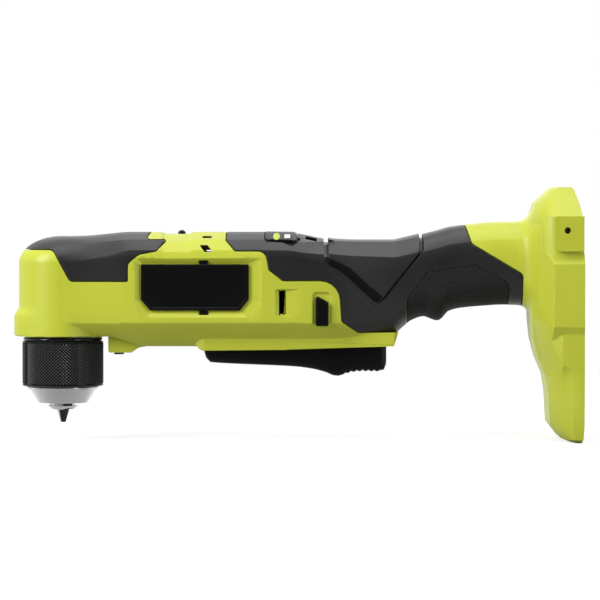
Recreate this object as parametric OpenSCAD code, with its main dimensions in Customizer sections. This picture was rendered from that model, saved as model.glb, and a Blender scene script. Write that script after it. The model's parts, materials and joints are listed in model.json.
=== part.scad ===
// Right angle drill: a clamshell body with a motor and a planetary stage along X,
// a bevel head turning the drive down to a keyless chuck, a paddle trigger and a battery foot.
// X runs from the spindle axis to the foot, Y across the tool and Z up the spindle, in millimetres.
// The origin is on the spindle axis, in the plane of the chuck's nose face.

/* [Body] */
// Spindle axis to the rear face of the battery foot
foot_x = 266.5; // [263:0.5:290]
// Half width of the motor body
body_half_w = 26; // [25.5:0.1:32]
// Height of the body's top above the motor axis
body_up = 28.5; // [27.5:0.5:34]
// Depth of the body's underside below the motor axis
body_down = 30; // [29.5:0.5:31]
// Size of the chamfer along the body's lower edges
body_chamfer = 12.5; // [8:0.5:13]

/* [Head] */
// Radius of the head around the spindle
head_r = 22.5; // [22:0.1:25]
// Radius of the flange around the head's mouth
head_flange_r = 25; // [24:0.1:28]
// Height of the flange around the head's mouth
head_flange_h = 10; // [7:0.5:13]
// Motor axis above the head's mouth
head_down = 25; // [24.5:0.5:27]
// Top of the head above the motor axis
head_up = 26.5; // [26:0.5:28]

/* [Handle] */
// Half width of the handle
handle_half_w = 18.5; // [18:0.1:23]
// Top of the handle above the motor axis
handle_up = 33.7; // [33:0.1:38]
// Underside of the handle below the motor axis
handle_down = 9; // [8.5:0.5:14]
// Top of the neck between body and handle above the motor axis
neck_up = 24; // [23:0.5:28]

/* [Shell] */
// Thickness of the soft overmould
skin_t = 2; // [1.6:0.1:2.4]
// Wall of the housing behind the overmould
wall_t = 2.5; // [2:0.1:3]
// Width of the seams around the overmould
seam_gap = 0.3; // [0.1:0.05:0.6]

/* [Foot] */
// Half width of the battery foot
foot_half_w = 34; // [30:0.5:42]
// Top of the foot above the motor axis
foot_up = 51.5; // [46:0.5:60]
// Bottom of the foot below the motor axis
foot_down = 78.5; // [72:0.5:90]
// Width of the battery socket
socket_w = 26; // [20:0.5:26.5]
// Height of the battery socket
socket_h = 25; // [20:0.5:26]
// Radius of the lanyard hole
lanyard_r = 1.6; // [1.2:0.1:2]

/* [Chuck] */
// Radius of the chuck sleeve
sleeve_r = 21; // [19.5:0.1:23]
// Length of the chuck sleeve
sleeve_h = 23; // [22:0.5:27]
// Radius of the steel nose at its small end
nose_r = 12.8; // [11:0.1:15]
// Radius of each jaw
jaw_r = 3.2; // [2.8:0.1:3.4]
// Reach of the closed jaws beyond the nose
jaw_reach = 6.6; // [5:0.1:8]
// Radius of the spindle's thread
thread_r = 4.76; // [4:0.01:5.5]

/* [Controls] */
// Half width of the trigger paddle
trigger_half_w = 13.5; // [11:0.5:14]
// Radius of the trigger's pivot pin
pin_r = 1.5; // [1.2:0.1:1.8]
// Width of the direction selector's buttons
selector_w = 6; // [5:0.1:7]
// Height of the direction selector's buttons
selector_h = 15; // [12:0.5:16]
// How far the selector stands proud of the flank
selector_proud = 1.6; // [1:0.1:2.5]
// Width of the mode button
mode_w = 15; // [10:0.5:17]

/* [Gears] */
// Module of the bevel pair
bevel_module = 1.1; // [1:0.01:1.12]
// Teeth of the bevel gear
bevel_teeth = 30; // [28:1:30]
// Teeth of the bevel pinion
pinion_teeth = 12; // [12:1:13]
// Face width of the bevel teeth
bevel_face = 5.5; // [4.5:0.1:6]
// Module of the planetary stage
planet_module = 0.7; // [0.6:0.01:0.7]
// Length of the planet teeth
planet_w = 7; // [5:0.1:8]

/* [Motor] */
// Radius of the motor, and of the bore that holds it
motor_r = 20; // [19.6:0.1:20.2]
// Length of the stator core
stator_len = 22; // [16:0.5:23]
// Radius of the rotor
rotor_r = 11.5; // [9:0.1:12]
// Radius of the motor shaft
shaft_r = 2.5; // [2:0.1:2.8]

/* [Fits] */
// Radial clearance of turning parts
run_fit = 0.05; // [0.03:0.01:0.1]
// Clearance around parts that sit in the housing
seat_gap = 0.15; // [0.05:0.05:0.3]
// Clearance around parts that move in the housing
move_gap = 0.35; // [0.3:0.05:0.5]

/* [Hidden] */
$fn = 48;

green = [0.72, 0.75, 0.25];
soft_grey = [0.24, 0.24, 0.25];
black = [0.09, 0.09, 0.1];
steel = [0.62, 0.63, 0.65];
bright = [0.78, 0.79, 0.8];
alloy = [0.7, 0.7, 0.69];
copper = [0.75, 0.42, 0.22];
board_green = [0.1, 0.32, 0.2];
lens_grey = [0.8, 0.82, 0.85];

far = 80;
slice = 0.02;

// Chuck, from its nose at height 0 up to the head's mouth
nose_ring_r = 7.9;
nose_ring_h = 2;
nose_gap_h = 1.5;
nose_wide_r = sleeve_r - 2.7;
nose_h = 8.4;
sleeve_z = nose_ring_h + nose_gap_h + nose_h + 0.3;
sleeve_top = sleeve_z + sleeve_h;
core_r = sleeve_r - 5;
back_h = 1.7;
chuck_top = sleeve_top + 0.3 + back_h;
head_gap = 0.8;
motor_z = chuck_top + head_gap + head_down;
jaw_angle = 16;
jaw_travel = 15.5;
jaw_tip_rho = 1;
jaw_top_z = 19.5;
jaw_count = 3;
jaw_step = 360 / jaw_count;
jaw_turn = -60;
nut_z = 14.5;
nut_h = 5.4;
groove_r = 10.2;
sleeve_relief = 0.8;

// Drive train, placed along the motor axis
mesh_angle = 25;
tooth_slack = 0.1;
tip_part = 0.88;
root_part = 1.2;
sun_teeth = 12;
planet_teeth = 18;
ring_teeth = sun_teeth + 2 * planet_teeth;
planet_orbit = planet_module * (sun_teeth + planet_teeth) / 2;
planet_count = 3;
planet_pin_r = 2;
bevel_tilt = atan(bevel_teeth / pinion_teeth);
pinion_tilt = 90 - bevel_tilt;
bevel_r = bevel_module * bevel_teeth / 2;
pinion_r = bevel_module * pinion_teeth / 2;
cone_length = norm([bevel_r, pinion_r]);
case_r = 19;
case_in_r = bevel_r + bevel_module + 0.2;
case_bottom = 1.5 - head_down;
case_top = 19;
case_shoulder = 12;
case_top_r = 12;
bearing_r = 14;
bearing_z = case_bottom + 2.6;
bearing_h = 8;
spindle_r = 6;
journal_r = 5;
bush_r = 7;
bush_z = 11;
bush_h = 6;
tube_r = 14.2;
pinion_bearing_r = 11;
pinion_bearing_x = 20;
pinion_bearing_w = 7;
pinion_shaft_r = 4;
flange_x = 27;
carrier_x = 30.4;
carrier_t = 3.8;
carrier_r = planet_orbit + planet_pin_r + 1;
planet_x = carrier_x + carrier_t + 0.6;
ring_x = carrier_x + carrier_t + 0.2;
ring_len = planet_w + 4.5;
plate_x = ring_x + ring_len;
plate_t = 6;
motor_bearing_r = 8;
motor_bearing_w = 5;
fan_x = 66;
fan_w = 8;
fan_r = 17.5;
fan_blades = 11;
stator_x = 80;
coil_len = 2.5;
rotor_gap = 0.7;
end_plate_x = 105.5;
end_plate_t = 5.5;
barrel_end = end_plate_x + end_plate_t + 1.5;
end_boss_r = 13;
end_boss_x = end_plate_x + end_plate_t + 6;

// Trigger and switch, placed from the trigger's pivot
pivot_x = 79;
pivot_z = -28;
squeeze = 4.5;
trigger_x = 73;
trigger_end = 166.6;
trigger_top = -26.5;
trigger_boss = -24.5;
spring_x = 124;
spring_r = 3.6;
spring_wire = 0.5;
spring_top = -14;
spring_turns = 6;
switch_x = 139;
switch_len = 21;
switch_half_w = 9.5;
switch_z = -16.5;
switch_h = 15.5;
plunger_x = 149;
plunger_r = 3;
plunger_len = 14;
selector_x = switch_x - 5.4;
selector_z = -11.5;
selector_throw = 2.5;
mode_x = 105.5;
mode_len = 14;
mode_floor = 23.7;
mode_rim = 1.5;
slot_x = 124.8;
slot_len = 7;
slot_half_w = 6;
cover_low = 15;

// Electronics behind the motor
board_x = 143;
board_len = 41;
board_half_w = 12.5;
board_z = 11;
board_t = 1.6;
plug_h = 4.4;
plug_len = 8;
lead_z = board_z + board_t + 2.2;
lead_y = 5;
rib_top = board_z + 2;
motor_lead_r = 1.1;
battery_lead_r = 1.5;
block_x = foot_x - 59.5;
block_t = 12;
socket_z = -1.5;

// Skirt around the trigger, and the light's boss
skirt_half_w = trigger_half_w + 5;
pad_t = skin_t - 0.6;
skirt_end = 172.5;
light_x = 29;
light_r = 2.6;
light_boss_half_w = 10.5;
light_bottom = -33.4;

// Screws: place along X and height above the motor axis
screw_spots = [[55, -25.4], [83, 24.3], [122, -8], [169, 0], [foot_x - 67, 22.5],
    [foot_x - 67, -3], [foot_x - 12, 41], [foot_x - 10, -32], [foot_x - 8, -64]];
screw_r = 1.45;
screw_head_r = 3;
screw_head_h = 2.4;
screw_seat_y = 8;
screw_tip_y = -10;

// Stations of the body: x, half width, top, bottom, then width, height and power of each corner
soft_top = [16, 13, 1.8];
hand_top = [15, 17, 2];
hand_low = [14, 14, 2];
hard_low = [body_chamfer, body_chamfer, 1.12];

function lerp(a, b, f) = a + (b - a) * f;

function front_row(x, width_part, top_part, low_part) = [x,
    lerp(head_r - 0.6, body_half_w, width_part), lerp(head_up - 0.3, body_up, top_part),
    -lerp(head_down, body_down, low_part), soft_top,
    lerp([body_chamfer - 5, body_chamfer - 5, 1.12], hard_low, low_part)];

function neck_row(x, width_part, top, low_part, soft_part) = [x,
    lerp(body_half_w, handle_half_w, width_part), top,
    -lerp(body_down, handle_down, low_part),
    lerp(soft_top, hand_top, soft_part), lerp(hard_low, hand_low, soft_part)];

body_rows = [
    front_row(0, 0, 0, 0),
    front_row(12, 0.1, 0.15, 0),
    front_row(24, 0.5, 0.65, 0),
    front_row(34, 0.85, 1, 0.45),
    front_row(43, 1, 1, 1),
    front_row(51.5, 1, 1, 1),
    neck_row(53, 0, body_up - 1, 0, 0),
    neck_row(66, 0, body_up - 1, 0, 0),
    neck_row(67.5, 0, body_up, 0, 0),
    neck_row(100, 0, body_up, 0, 0),
    neck_row(116, 0, lerp(body_up, neck_up, 0.04), 0, 0),
    neck_row(124, 0.02, lerp(body_up, neck_up, 0.28), 0, 0.02),
    neck_row(134, 0.06, lerp(body_up, neck_up, 0.74), 0, 0.08),
    neck_row(143, 0.17, lerp(body_up, neck_up, 0.94), 0, 0.2),
    neck_row(152, 0.4, neck_up, 0.02, 0.4),
    neck_row(162, 0.67, neck_up, 0.1, 0.65),
    neck_row(170, 0.84, neck_up, 0.24, 0.85),
    neck_row(175, 0.91, lerp(neck_up, handle_up, 0.1), 0.45, 0.95),
    neck_row(180, 0.96, lerp(neck_up, handle_up, 0.23), 0.63, 1),
    neck_row(186, 1, lerp(neck_up, handle_up, 0.37), 0.715, 1),
    neck_row(foot_x - 74, 1, lerp(neck_up, handle_up, 0.55), 0.62, 1),
    neck_row(foot_x - 68, 1, lerp(neck_up, handle_up, 0.72), 0.84, 1),
    neck_row(foot_x - 60.5, 1, lerp(neck_up, handle_up, 0.84), 0.93, 1),
    neck_row(foot_x - 50.5, 1, lerp(neck_up, handle_up, 0.95), 0.97, 1),
    neck_row(foot_x - 40.5, 1, handle_up, 1, 1),
    neck_row(foot_x - 28, 0.94, handle_up, 1, 1)];

foot_top_corner = [14, 15, 1.12];
foot_low_corner = [14, 18, 1.12];

function foot_row(back, width, top, low, round_part) = [foot_x - back, width, top, low,
    lerp(hand_top, foot_top_corner, round_part), lerp(hand_low, foot_low_corner, round_part)];

foot_rows = [
    foot_row(42, handle_half_w - 0.6, handle_up - 0.6, 0.6 - handle_down, 0),
    foot_row(31.5, handle_half_w + 0.3, handle_up + 0.2, -handle_down - 0.2, 0),
    foot_row(27.5, lerp(handle_half_w, foot_half_w, 0.22), handle_up + 3, -handle_down - 3, 0.2),
    foot_row(25, lerp(handle_half_w, foot_half_w, 0.45), foot_up - 10.5, 49 - foot_down, 0.5),
    foot_row(18, lerp(handle_half_w, foot_half_w, 0.82), foot_up - 4, 29.5 - foot_down, 0.9),
    foot_row(16.3, lerp(handle_half_w, foot_half_w, 0.9), foot_up - 3, 9.2 - foot_down, 1),
    foot_row(10.5, foot_half_w, foot_up - 0.9, -foot_down, 1),
    foot_row(5.5, foot_half_w, foot_up, -foot_down, 1),
    foot_row(2.5, foot_half_w, foot_up - 7.5, -foot_down, 1),
    foot_row(0.8, foot_half_w, foot_up - 15.3, -foot_down, 1),
    foot_row(0, foot_half_w - 1, foot_up - 21.5, 2.5 - foot_down, 1)];

// Side outlines, as x, height above the motor axis and corner radius
bumper_side = [[-40, 19.3, 0], [-3.6, 19.3, 4], [5.2, 3.1, 3], [35, 3.1, 0.6], [35, 18.7, 6],
    [49, 18.7, 1.5], [54.6, 24.1, 0.8], [53, 24.9, 0.5], [45.6, 24.9, 0.6], [44.4, 25.7, 0.4],
    [46.4, 28.6, 0.5], [46.4, far, 0], [-40, far, 0]];
overmold_side = [[85, far, 0], [84.5, 24.2, 0.8], [89.3, 18.6, 1.5], [104.8, 18.6, 4.5],
    [106.4, 9.2, 1.5], [113.6, 3.5, 2], [142.2, 3.5, 10], [143.3, -17, 2], [152, -23, 3],
    [173, -22.8, 0], [173, -far, 0], [foot_x - 30.1, -far, 0], [foot_x - 30.1, 7, 3],
    [foot_x - 56.2, 22.6, 4], [foot_x - 60, 34, 0], [foot_x - 60, far, 0]];
grip_side = [[foot_x - 89, -far, 0], [foot_x - 89.3, -5.5, 2], [foot_x - 79.5, 8.2, 3],
    [foot_x - 54.5, 12, 3], [foot_x - 37.3, 2.5, 3], [foot_x - 37.3, -far, 0]];
pad_side = [[135.4, far, 0], [135.4, 18.4, 2], [163, -5, 4], [183.5, 18.6, 2], [183.5, far, 0]];
pad_recess_side = [[134.6, far, 0], [134.6, 12.4, 2], [161.2, -10.6, 4], [184.8, 19, 2], [184.8, far, 0]];
plate_side = [[41.5, 12.2, 0.3], [96.4, 12.2, 0.3], [96.4, -5.7, 0.5], [91.8, -11.4, 0.5],
    [46.2, -11.4, 0.5], [41.5, -5.9, 0.5]];
plate_floor = [[41.2, 12.5], [96.7, 12.5], [96.7, -5.8], [92, -11.7], [46, -11.7], [41.2, -6]];
plate_mouth = [[38.1, 15.6], [103.2, 15.6], [103.2, -6.6], [96.2, -14.9], [44.8, -14.9], [38.1, -7]];
plate_clips = [[71, 75.8]];
vent_side = [[71.2, 21.9, 0.4], [75.3, 21.9, 0.4], [78.1, 18.3, 0.4], [74, 18.3, 0.4]];
skirt_side = [[66, -24, 1], [70.5, -31, 2.5], [73, -32.1, 1], [116, -31.7, 0], [170.4, -29.8, 0.8],
    [skirt_end, -23.6, 0.8], [skirt_end, -20, 0], [66, -20, 0]];
skirt_plan = [[64, 0, 0], [66, skirt_half_w - 7, 5], [73, skirt_half_w, 5],
    [skirt_end - 2, skirt_half_w, 1], [skirt_end + 1, skirt_half_w - 5, 2], [skirt_end + 1, 0, 0]];
side_vent = [[111.7, -1.4, 0.8], [114.8, -1.4, 0.8], [114.8, -13.2, 0.8], [111.7, -13.2, 0.8]];
top_vent = [72.7, 77.3, 25.4, 26.4];

// Bulkheads left standing in the rear body, and the floor under the motor's rear boss
rib_spots = [141, 155, 178];
rib_t = 3;
boss_floor = [117, 128, -4];
screw_boss_r = 3.8;

// Domed screw on the collar, from its shank's root to the top of the dome
stud_x = 61.5;
stud_hole_r = 1.25;
stud_hole_z = 20.5;
stud_profile = [[0, -5.5], [1.2, -5.5], [1.2, 0], [2.05, 0], [1.9, 1], [1.3, 1.7], [0.6, 2], [0, 2.1]];

// Dome of the head, drawn in a few steps
dome_h = 11.7;
dome_steps = 8;
light_side = [[24, -20, 0], [24, light_bottom, 1.2], [36, light_bottom, 1], [39.4, -31, 3],
    [44, -29.8, 0], [44, -20, 0]];
lug_side = [[foot_x - 15.6, 18.6, 1], [foot_x - 0.6, 18.6, 1], [foot_x - 0.6, 34.5, 1],
    [foot_x - 3, 37, 1], [foot_x - 15.6, 37, 1]];
flank_side = [[foot_x - 15.6, 13.2, 1], [foot_x - 15.6, -16, 1], [foot_x - 8, -20.5, 1],
    [foot_x - 0.6, -19, 1], [foot_x - 0.6, 13.2, 1]];
selector_side = [[selector_x - selector_w / 2, selector_z - selector_h / 2, 0.8],
    [selector_x + selector_w / 2, selector_z - selector_h / 2, 0.8],
    [selector_x + selector_w / 2, selector_z + selector_h / 2 - 3.4, 0.8],
    [selector_x - selector_w / 2, selector_z + selector_h / 2, 0.8]];
trigger_room = [[trigger_x - 1.2, -far, 0], [trigger_x - 1.2, trigger_boss + 1.6, 0],
    [89, trigger_boss + 1.6, 0], [trigger_end + 1.6, -17.8, 0], [trigger_end + 1.6, -far, 0]];

// Stations of the trigger paddle: x, half width, underside
trigger_rows = [[trigger_x, -1.2, -32], [trigger_x + 1.2, -0.4, -36], [trigger_x + 3.4, 0, -38.2],
    [86, 0, -38.9], [119, 0, -40.4], [128, 0, -41.5], [136.2, 0, -43.6], [139.3, 0, -45],
    [142.2, 0, -45.3], [144.8, 0, -44.5], [149.5, 0, -43.2], [155, 0, -42.7], [163, 0, -43],
    [165.4, -0.4, -42.2], [trigger_end, -1.2, -39.5]];

corner_steps = 5;

function unit(v) = v / norm(v);

// Points of one rounded corner c between its neighbours p and q
function fillet(p, c, q, r, n) = r <= 0 ? [c] :
    let (u = unit(p - c), v = unit(q - c), half = acos(u * v) / 2, centre = c + unit(u + v) * r / sin(half),
        from = c + u * r / tan(half) - centre, to = c + v * r / tan(half) - centre,
        a0 = atan2(from[1], from[0]), turn = atan2(to[1], to[0]) - a0,
        da = turn > 180 ? turn - 360 : turn < -180 ? turn + 360 : turn)
    [for (i = [0:n]) centre + r * [cos(a0 + da * i / n), sin(a0 + da * i / n)]];

function flat(p) = [p[0], p[1]];

function rounded(pts, n = 4) = let (last = len(pts)) [for (i = [0:last - 1])
    each fillet(flat(pts[(i + last - 1) % last]), flat(pts[i]), flat(pts[(i + 1) % last]), pts[i][2], n)];

// One quarter of a section, from the flank to the top or the bottom
function quarter(w, z, corner, up) = [for (i = [0:corner_steps]) let (t = 90 * i / corner_steps)
    [w - corner[0] + corner[0] * pow(cos(t), 2 / corner[2]),
        z + up * corner[1] * (pow(sin(t), 2 / corner[2]) - 1)]];

function turned(list) = [for (i = [len(list) - 1:-1:0]) list[i]];

function shrink(row, d) = [row[0], row[1] - d, row[2] - d, row[3] + d,
    row[4] - [d / 2, d / 2, 0], row[5] - [d / 2, d / 2, 0]];

function half_ring(row) = [for (p = concat([[0, row[3]]], turned(quarter(row[1], row[3], row[5], -1)),
    quarter(row[1], row[2], row[4], 1), [[0, row[2]]])) [row[0], p[0], p[1]]];

function full_ring(row) = let (h = half_ring(row), n = len(h)) concat([for (i = [1:n - 2]) h[i]],
    [for (i = [n - 2:-1:1]) [h[i][0], -h[i][1], h[i][2]]]);

// Angle a flank has turned through where the line of action meets it at angle a
function roll(a) = tan(a) * 180 / PI - a;

// Half the angle that a tooth takes up at radius rho
function half_tooth(teeth, module_mm, slack, rho) =
    let (r = teeth * module_mm / 2, base = r * cos(mesh_angle))
    90 / teeth - slack / (2 * r) * 180 / PI + roll(mesh_angle) - roll(acos(min(1, base / max(rho, base))));

tooth_steps = 3;

function gear_outline(teeth, module_mm, slack, tip, root) = let (r = teeth * module_mm / 2)
    [for (k = [0:teeth - 1]) each [for (s = [-1, 1]) each [for (i = [0:tooth_steps])
        let (f = s < 0 ? i : tooth_steps - i,
            rho = lerp(r - root, r + tip, f / tooth_steps),
            a = 360 * k / teeth + s * half_tooth(teeth, module_mm, slack, rho))
        rho * [cos(a), sin(a)]]]];

// Ring of bevel tooth points on the back cone, drawn towards the apex by the factor f
function bevel_ring(teeth, tilt, f) = let (reach = cone_length * tan(tilt), like = teeth / cos(tilt),
    r0 = reach - root_part * bevel_module, r1 = reach + tip_part * bevel_module)
    [for (k = [0:teeth - 1]) each [for (s = [-1, 1]) each [for (i = [0:tooth_steps])
        let (g = s < 0 ? i : tooth_steps - i, rho = lerp(r0, r1, g / tooth_steps),
            a = 360 * k / teeth + s * half_tooth(like, bevel_module, tooth_slack, rho) / cos(tilt))
        f * [rho * cos(tilt) * cos(a), rho * cos(tilt) * sin(a),
            cone_length / cos(tilt) - rho * sin(tilt)]]]];

function bevel_root_z(tilt) = cone_length / cos(tilt)
    - (cone_length * tan(tilt) - root_part * bevel_module) * sin(tilt);

bevel_inner = 1 - bevel_face / cone_length;

// Solid skinned through rings of points, each ring turning the same way about the line of travel
module skin(rings) {
    n = len(rings[0]);
    m = len(rings);
    polyhedron(points = [for (r = rings) each r],
        faces = concat([[for (i = [0:n - 1]) i]], [[for (i = [0:n - 1]) m * n - 1 - i]],
            [for (k = [0:m - 2]) for (i = [0:n - 1])
                let (a = k * n + i, b = k * n + (i + 1) % n) each [[a, a + n, b + n], [a, b + n, b]]]));
}

module half_skin(rows, inset) {
    skin([for (row = rows) half_ring(shrink(row, inset))]);
}

module full_skin(rows, inset) {
    skin([for (row = rows) full_ring(shrink(row, inset))]);
}

// Prism of a side outline from y0 to y1
module side_prism(outline, y0, y1, grow = 0) {
    translate([0, y1, 0])
        rotate([90, 0, 0])
            linear_extrude(y1 - y0)
                offset(delta = grow)
                    polygon(rounded(outline));
}

module cross_prism(outline, y0, y1) {
    translate([0, y1, 0])
        rotate([90, 0, 0])
            linear_extrude(y1 - y0)
                polygon(rounded(outline));
}

module in_body() {
    translate([0, 0, motor_z])
        children();
}

module on_side(side) {
    mirror([0, side < 0 ? 1 : 0, 0])
        children();
}

// Tube along X about the motor axis
module barrel(x, length, r, bore = 0) {
    translate([x, 0, 0])
        rotate([0, 90, 0])
            ring(r, bore, length);
}

module ring(r, bore, h) {
    difference() {
        cylinder(r = r, h = h);
        if (bore > 0)
            translate([0, 0, -1])
                cylinder(r = bore, h = h + 2);
    }
}

module cross_rod(x, z, r, y0, y1) {
    translate([x, y1, z])
        rotate([90, 0, 0])
            cylinder(r = r, h = y1 - y0);
}

module block(low, high) {
    translate(low)
        cube(high - low);
}

// Head around the spindle, as a half turn on the positive Y side or a full turn
module head_shape(inset, turn) {
    spring_z = head_up - dome_h;
    rotate_extrude(angle = turn)
        polygon(concat([[0, inset - head_down], [head_flange_r - inset - 0.8, inset - head_down],
            [head_flange_r - inset, inset + 0.8 - head_down],
            [head_flange_r - inset, head_flange_h - head_down],
            [head_r - inset, head_flange_h + 3.5 - head_down]],
            [for (i = [0:dome_steps]) let (a = 90 * i / dome_steps)
                [(head_r - inset) * cos(a), spring_z + (dome_h - inset) * sin(a)]]));
}

module skirt_half() {
    intersection() {
        cross_prism(skirt_side, 0, skirt_half_w + 1);
        translate([0, 0, -far])
            linear_extrude(far)
                polygon(rounded(skirt_plan));
    }
}

module outer_half() {
    head_shape(0, 180);
    half_skin(body_rows, 0);
    half_skin(foot_rows, 0);
    skirt_half();
    cross_prism(light_side, 0, light_boss_half_w);
    cross_prism(lug_side, 0, foot_half_w + 2);
    cross_prism(flank_side, 0, foot_half_w + 1.6);
}

// Room left under the overmould and the bumper
module soft_room() {
    difference() {
        union() {
            side_prism(overmold_side, -1, far);
            side_prism(bumper_side, -1, far);
        }
        half_skin(body_rows, skin_t);
        head_shape(skin_t, 360);
    }
}

module plate_room() {
    y = body_half_w - 2;
    skin([[for (p = plate_floor) [p[0], y, p[1]]],
        [for (p = plate_mouth) [p[0], body_half_w + slice, p[1]]]]);
    for (clip = plate_clips)
        block([clip[0], y, -13.6], [clip[1], body_half_w + 1, 14.1]);
}

// Hollow of the rear body, with bulkheads and screw bosses left standing
module rear_hollow() {
    difference() {
        full_skin([for (row = body_rows) if (row[0] > 113 && row[0] < foot_x - 60) row], skin_t + wall_t);
        block([boss_floor[0], -far, -far], [boss_floor[1], far, boss_floor[2]]);
        for (x = rib_spots)
            block([x, -far, -far], [x + rib_t, far, rib_top]);
        for (spot = screw_spots)
            cross_rod(spot[0], spot[1], screw_boss_r, -far, far);
    }
}

// Outside of the gear case around the spindle
module case_shape(grow) {
    rotate_extrude()
        polygon([[0, case_bottom - grow], [case_r + grow, case_bottom - grow],
            [case_r + grow, case_shoulder + grow], [case_top_r + grow, case_top + grow],
            [0, case_top + grow]]);
}

module drive_room() {
    case_shape(seat_gap);
    translate([0, 0, -head_down - 1])
        cylinder(r = thread_r + 6, h = 5);
    barrel(0, flange_x + 1, tube_r + seat_gap);
    barrel(flange_x - seat_gap, barrel_end - flange_x, motor_r + seat_gap);
    block([barrel_end - 3, -end_boss_r - 1, -end_boss_r - 1],
        [end_boss_x + 1, end_boss_r + 1, lead_z + 2.2]);
}

module control_room() {
    cross_prism(trigger_room, -trigger_half_w - move_gap, trigger_half_w + move_gap);
    cross_rod(pivot_x, pivot_z, pin_r + 0.02, 1 - skirt_half_w, skirt_half_w - 1);
    translate([spring_x, 0, trigger_top - 1])
        cylinder(r = spring_r + 1, h = spring_top - trigger_top + 1);
    side_prism(selector_side, -far, far, move_gap);
    block([switch_x - seat_gap, -switch_half_w - seat_gap, switch_z - seat_gap],
        [switch_x + switch_len + seat_gap, switch_half_w + seat_gap, switch_z + switch_h + seat_gap]);
    translate([plunger_x, 0, trigger_top - 1])
        cylinder(r = plunger_r + 1, h = 12);
    block([board_x - seat_gap, -board_half_w - seat_gap, board_z - seat_gap],
        [board_x + board_len + seat_gap, board_half_w + seat_gap, board_z + board_t + plug_h + 1]);
    block([mode_x - mode_rim, -mode_w / 2 - 0.4, mode_floor - 0.9],
        [mode_x + mode_len + mode_rim, mode_w / 2 + 0.4, far]);
}

module supply_room() {
    block([block_x - seat_gap, -socket_w / 2 - seat_gap, socket_z - seat_gap],
        [block_x + block_t, socket_w / 2 + seat_gap, socket_z + socket_h + seat_gap]);
    block([block_x + block_t - 1, -socket_w / 2, socket_z],
        [foot_x + 1, socket_w / 2, socket_z + socket_h]);
    for (s = [-1, 1])
        translate([0, s * lead_y, lead_z])
            barrel(board_x + board_len - 1, block_x - board_x - board_len + 2, battery_lead_r + 0.1);
    block([foot_x - 1.5, -foot_half_w + 6, 14 - foot_down], [foot_x + 1, foot_half_w - 6, foot_up - 26]);
}

module light_room() {
    translate([light_x, 0, light_bottom - 2])
        cylinder(r = light_r + 0.1, h = 6);
    translate([light_x, 0, light_bottom + 2.4])
        cylinder(r = light_r + 1.5, h = 3);
}

module vents() {
    cross_prism(vent_side, 3, far);
    block([top_vent[0], 8, top_vent[2]], [top_vent[1], far, top_vent[3]]);
    cross_prism(side_vent, 12, far);
}

module screw_room(side) {
    for (spot = screw_spots)
        if (side < 0)
            cross_rod(spot[0], spot[1], screw_r + 0.03, -1, 0.5 - screw_tip_y);
        else {
            cross_rod(spot[0], spot[1], screw_r + 0.15, -1, screw_seat_y + 1);
            cross_rod(spot[0], spot[1], screw_head_r + 0.3, screw_seat_y, far);
        }
}

// One clamshell half, drawn on the positive Y side
module housing_half(side) {
    difference() {
        outer_half();
        soft_room();
        plate_room();
        rear_hollow();
        drive_room();
        control_room();
        supply_room();
        light_room();
        vents();
        screw_room(side);
        translate([stud_x, 0, stud_hole_z])
            cylinder(r = stud_hole_r, h = 20);
        cross_rod(foot_x - 9, 29.3, lanyard_r, -1, far);
        selector_dish();
    }
}

module selector_dish() {
    grow = 2.3;
    front = selector_x - selector_w / 2 - 2;
    rear = selector_x + selector_w / 2 + grow;
    low = selector_z - selector_h / 2 - grow;
    high = selector_z + selector_h / 2 + grow;
    cross_prism([[front, low, 2.5], [rear, low, 2.5], [rear, high, 2.5], [front, high, 2.5]],
        body_half_w - 1.3, far);
}

module housing_left() {
    color(green)
        in_body()
            on_side(-1)
                housing_half(-1);
}

module housing_right() {
    color(green)
        in_body()
            housing_half(1);
}

module head_bumper() {
    color(soft_grey)
        in_body()
            difference() {
                intersection() {
                    union() {
                        head_shape(0, 360);
                        full_skin([for (row = body_rows) if (row[0] < 60) row], 0);
                    }
                    side_prism(bumper_side, -far, far, -seam_gap);
                }
                head_shape(skin_t, 360);
                full_skin(body_rows, skin_t);
            }
}

module overmold_half(side) {
    difference() {
        intersection() {
            half_skin(body_rows, 0);
            side_prism(overmold_side, 0, far, -seam_gap);
        }
        half_skin(body_rows, skin_t);
        difference() {
            side_prism(pad_recess_side, -1, far);
            half_skin(body_rows, pad_t);
        }
        side_prism(grip_side, -1, far);
        block([mode_x - mode_rim, -1, cover_low],
            [mode_x + mode_len + mode_rim, mode_w / 2 + mode_rim + 0.1, far]);
        block([slot_x, -1, cover_low], [slot_x + slot_len, slot_half_w, far]);
        cross_prism(trigger_room, -1, trigger_half_w + move_gap);
        if (side > 0)
            screw_room(side);
    }
}

module overmold_left() {
    color(soft_grey)
        in_body()
            on_side(-1)
                overmold_half(-1);
}

module overmold_right() {
    color(soft_grey)
        in_body()
            overmold_half(1);
}

module saddle_pad() {
    color(soft_grey)
        in_body()
            difference() {
                intersection() {
                    full_skin(body_rows, 0);
                    side_prism(pad_side, -far, far);
                }
                full_skin(body_rows, pad_t - seat_gap);
                screw_room(1);
            }
}

module grip_half() {
    difference() {
        intersection() {
            half_skin(body_rows, 0);
            side_prism(grip_side, 0, far, -seam_gap);
        }
        half_skin(body_rows, skin_t);
    }
}

module grip_left() {
    color(black)
        in_body()
            on_side(-1)
                grip_half();
}

module grip_right() {
    color(black)
        in_body()
            difference() {
                grip_half();
                screw_room(1);
            }
}

module nameplate() {
    cross_prism(plate_side, body_half_w - 2, body_half_w - 0.2);
}

module nameplate_left() {
    color(black)
        in_body()
            on_side(-1)
                nameplate();
}

module nameplate_right() {
    color(black)
        in_body()
            nameplate();
}

module collar_stud() {
    color(black)
        in_body()
            translate([stud_x, 0, body_up - 1])
                rotate_extrude()
                    polygon(stud_profile);
}

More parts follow.
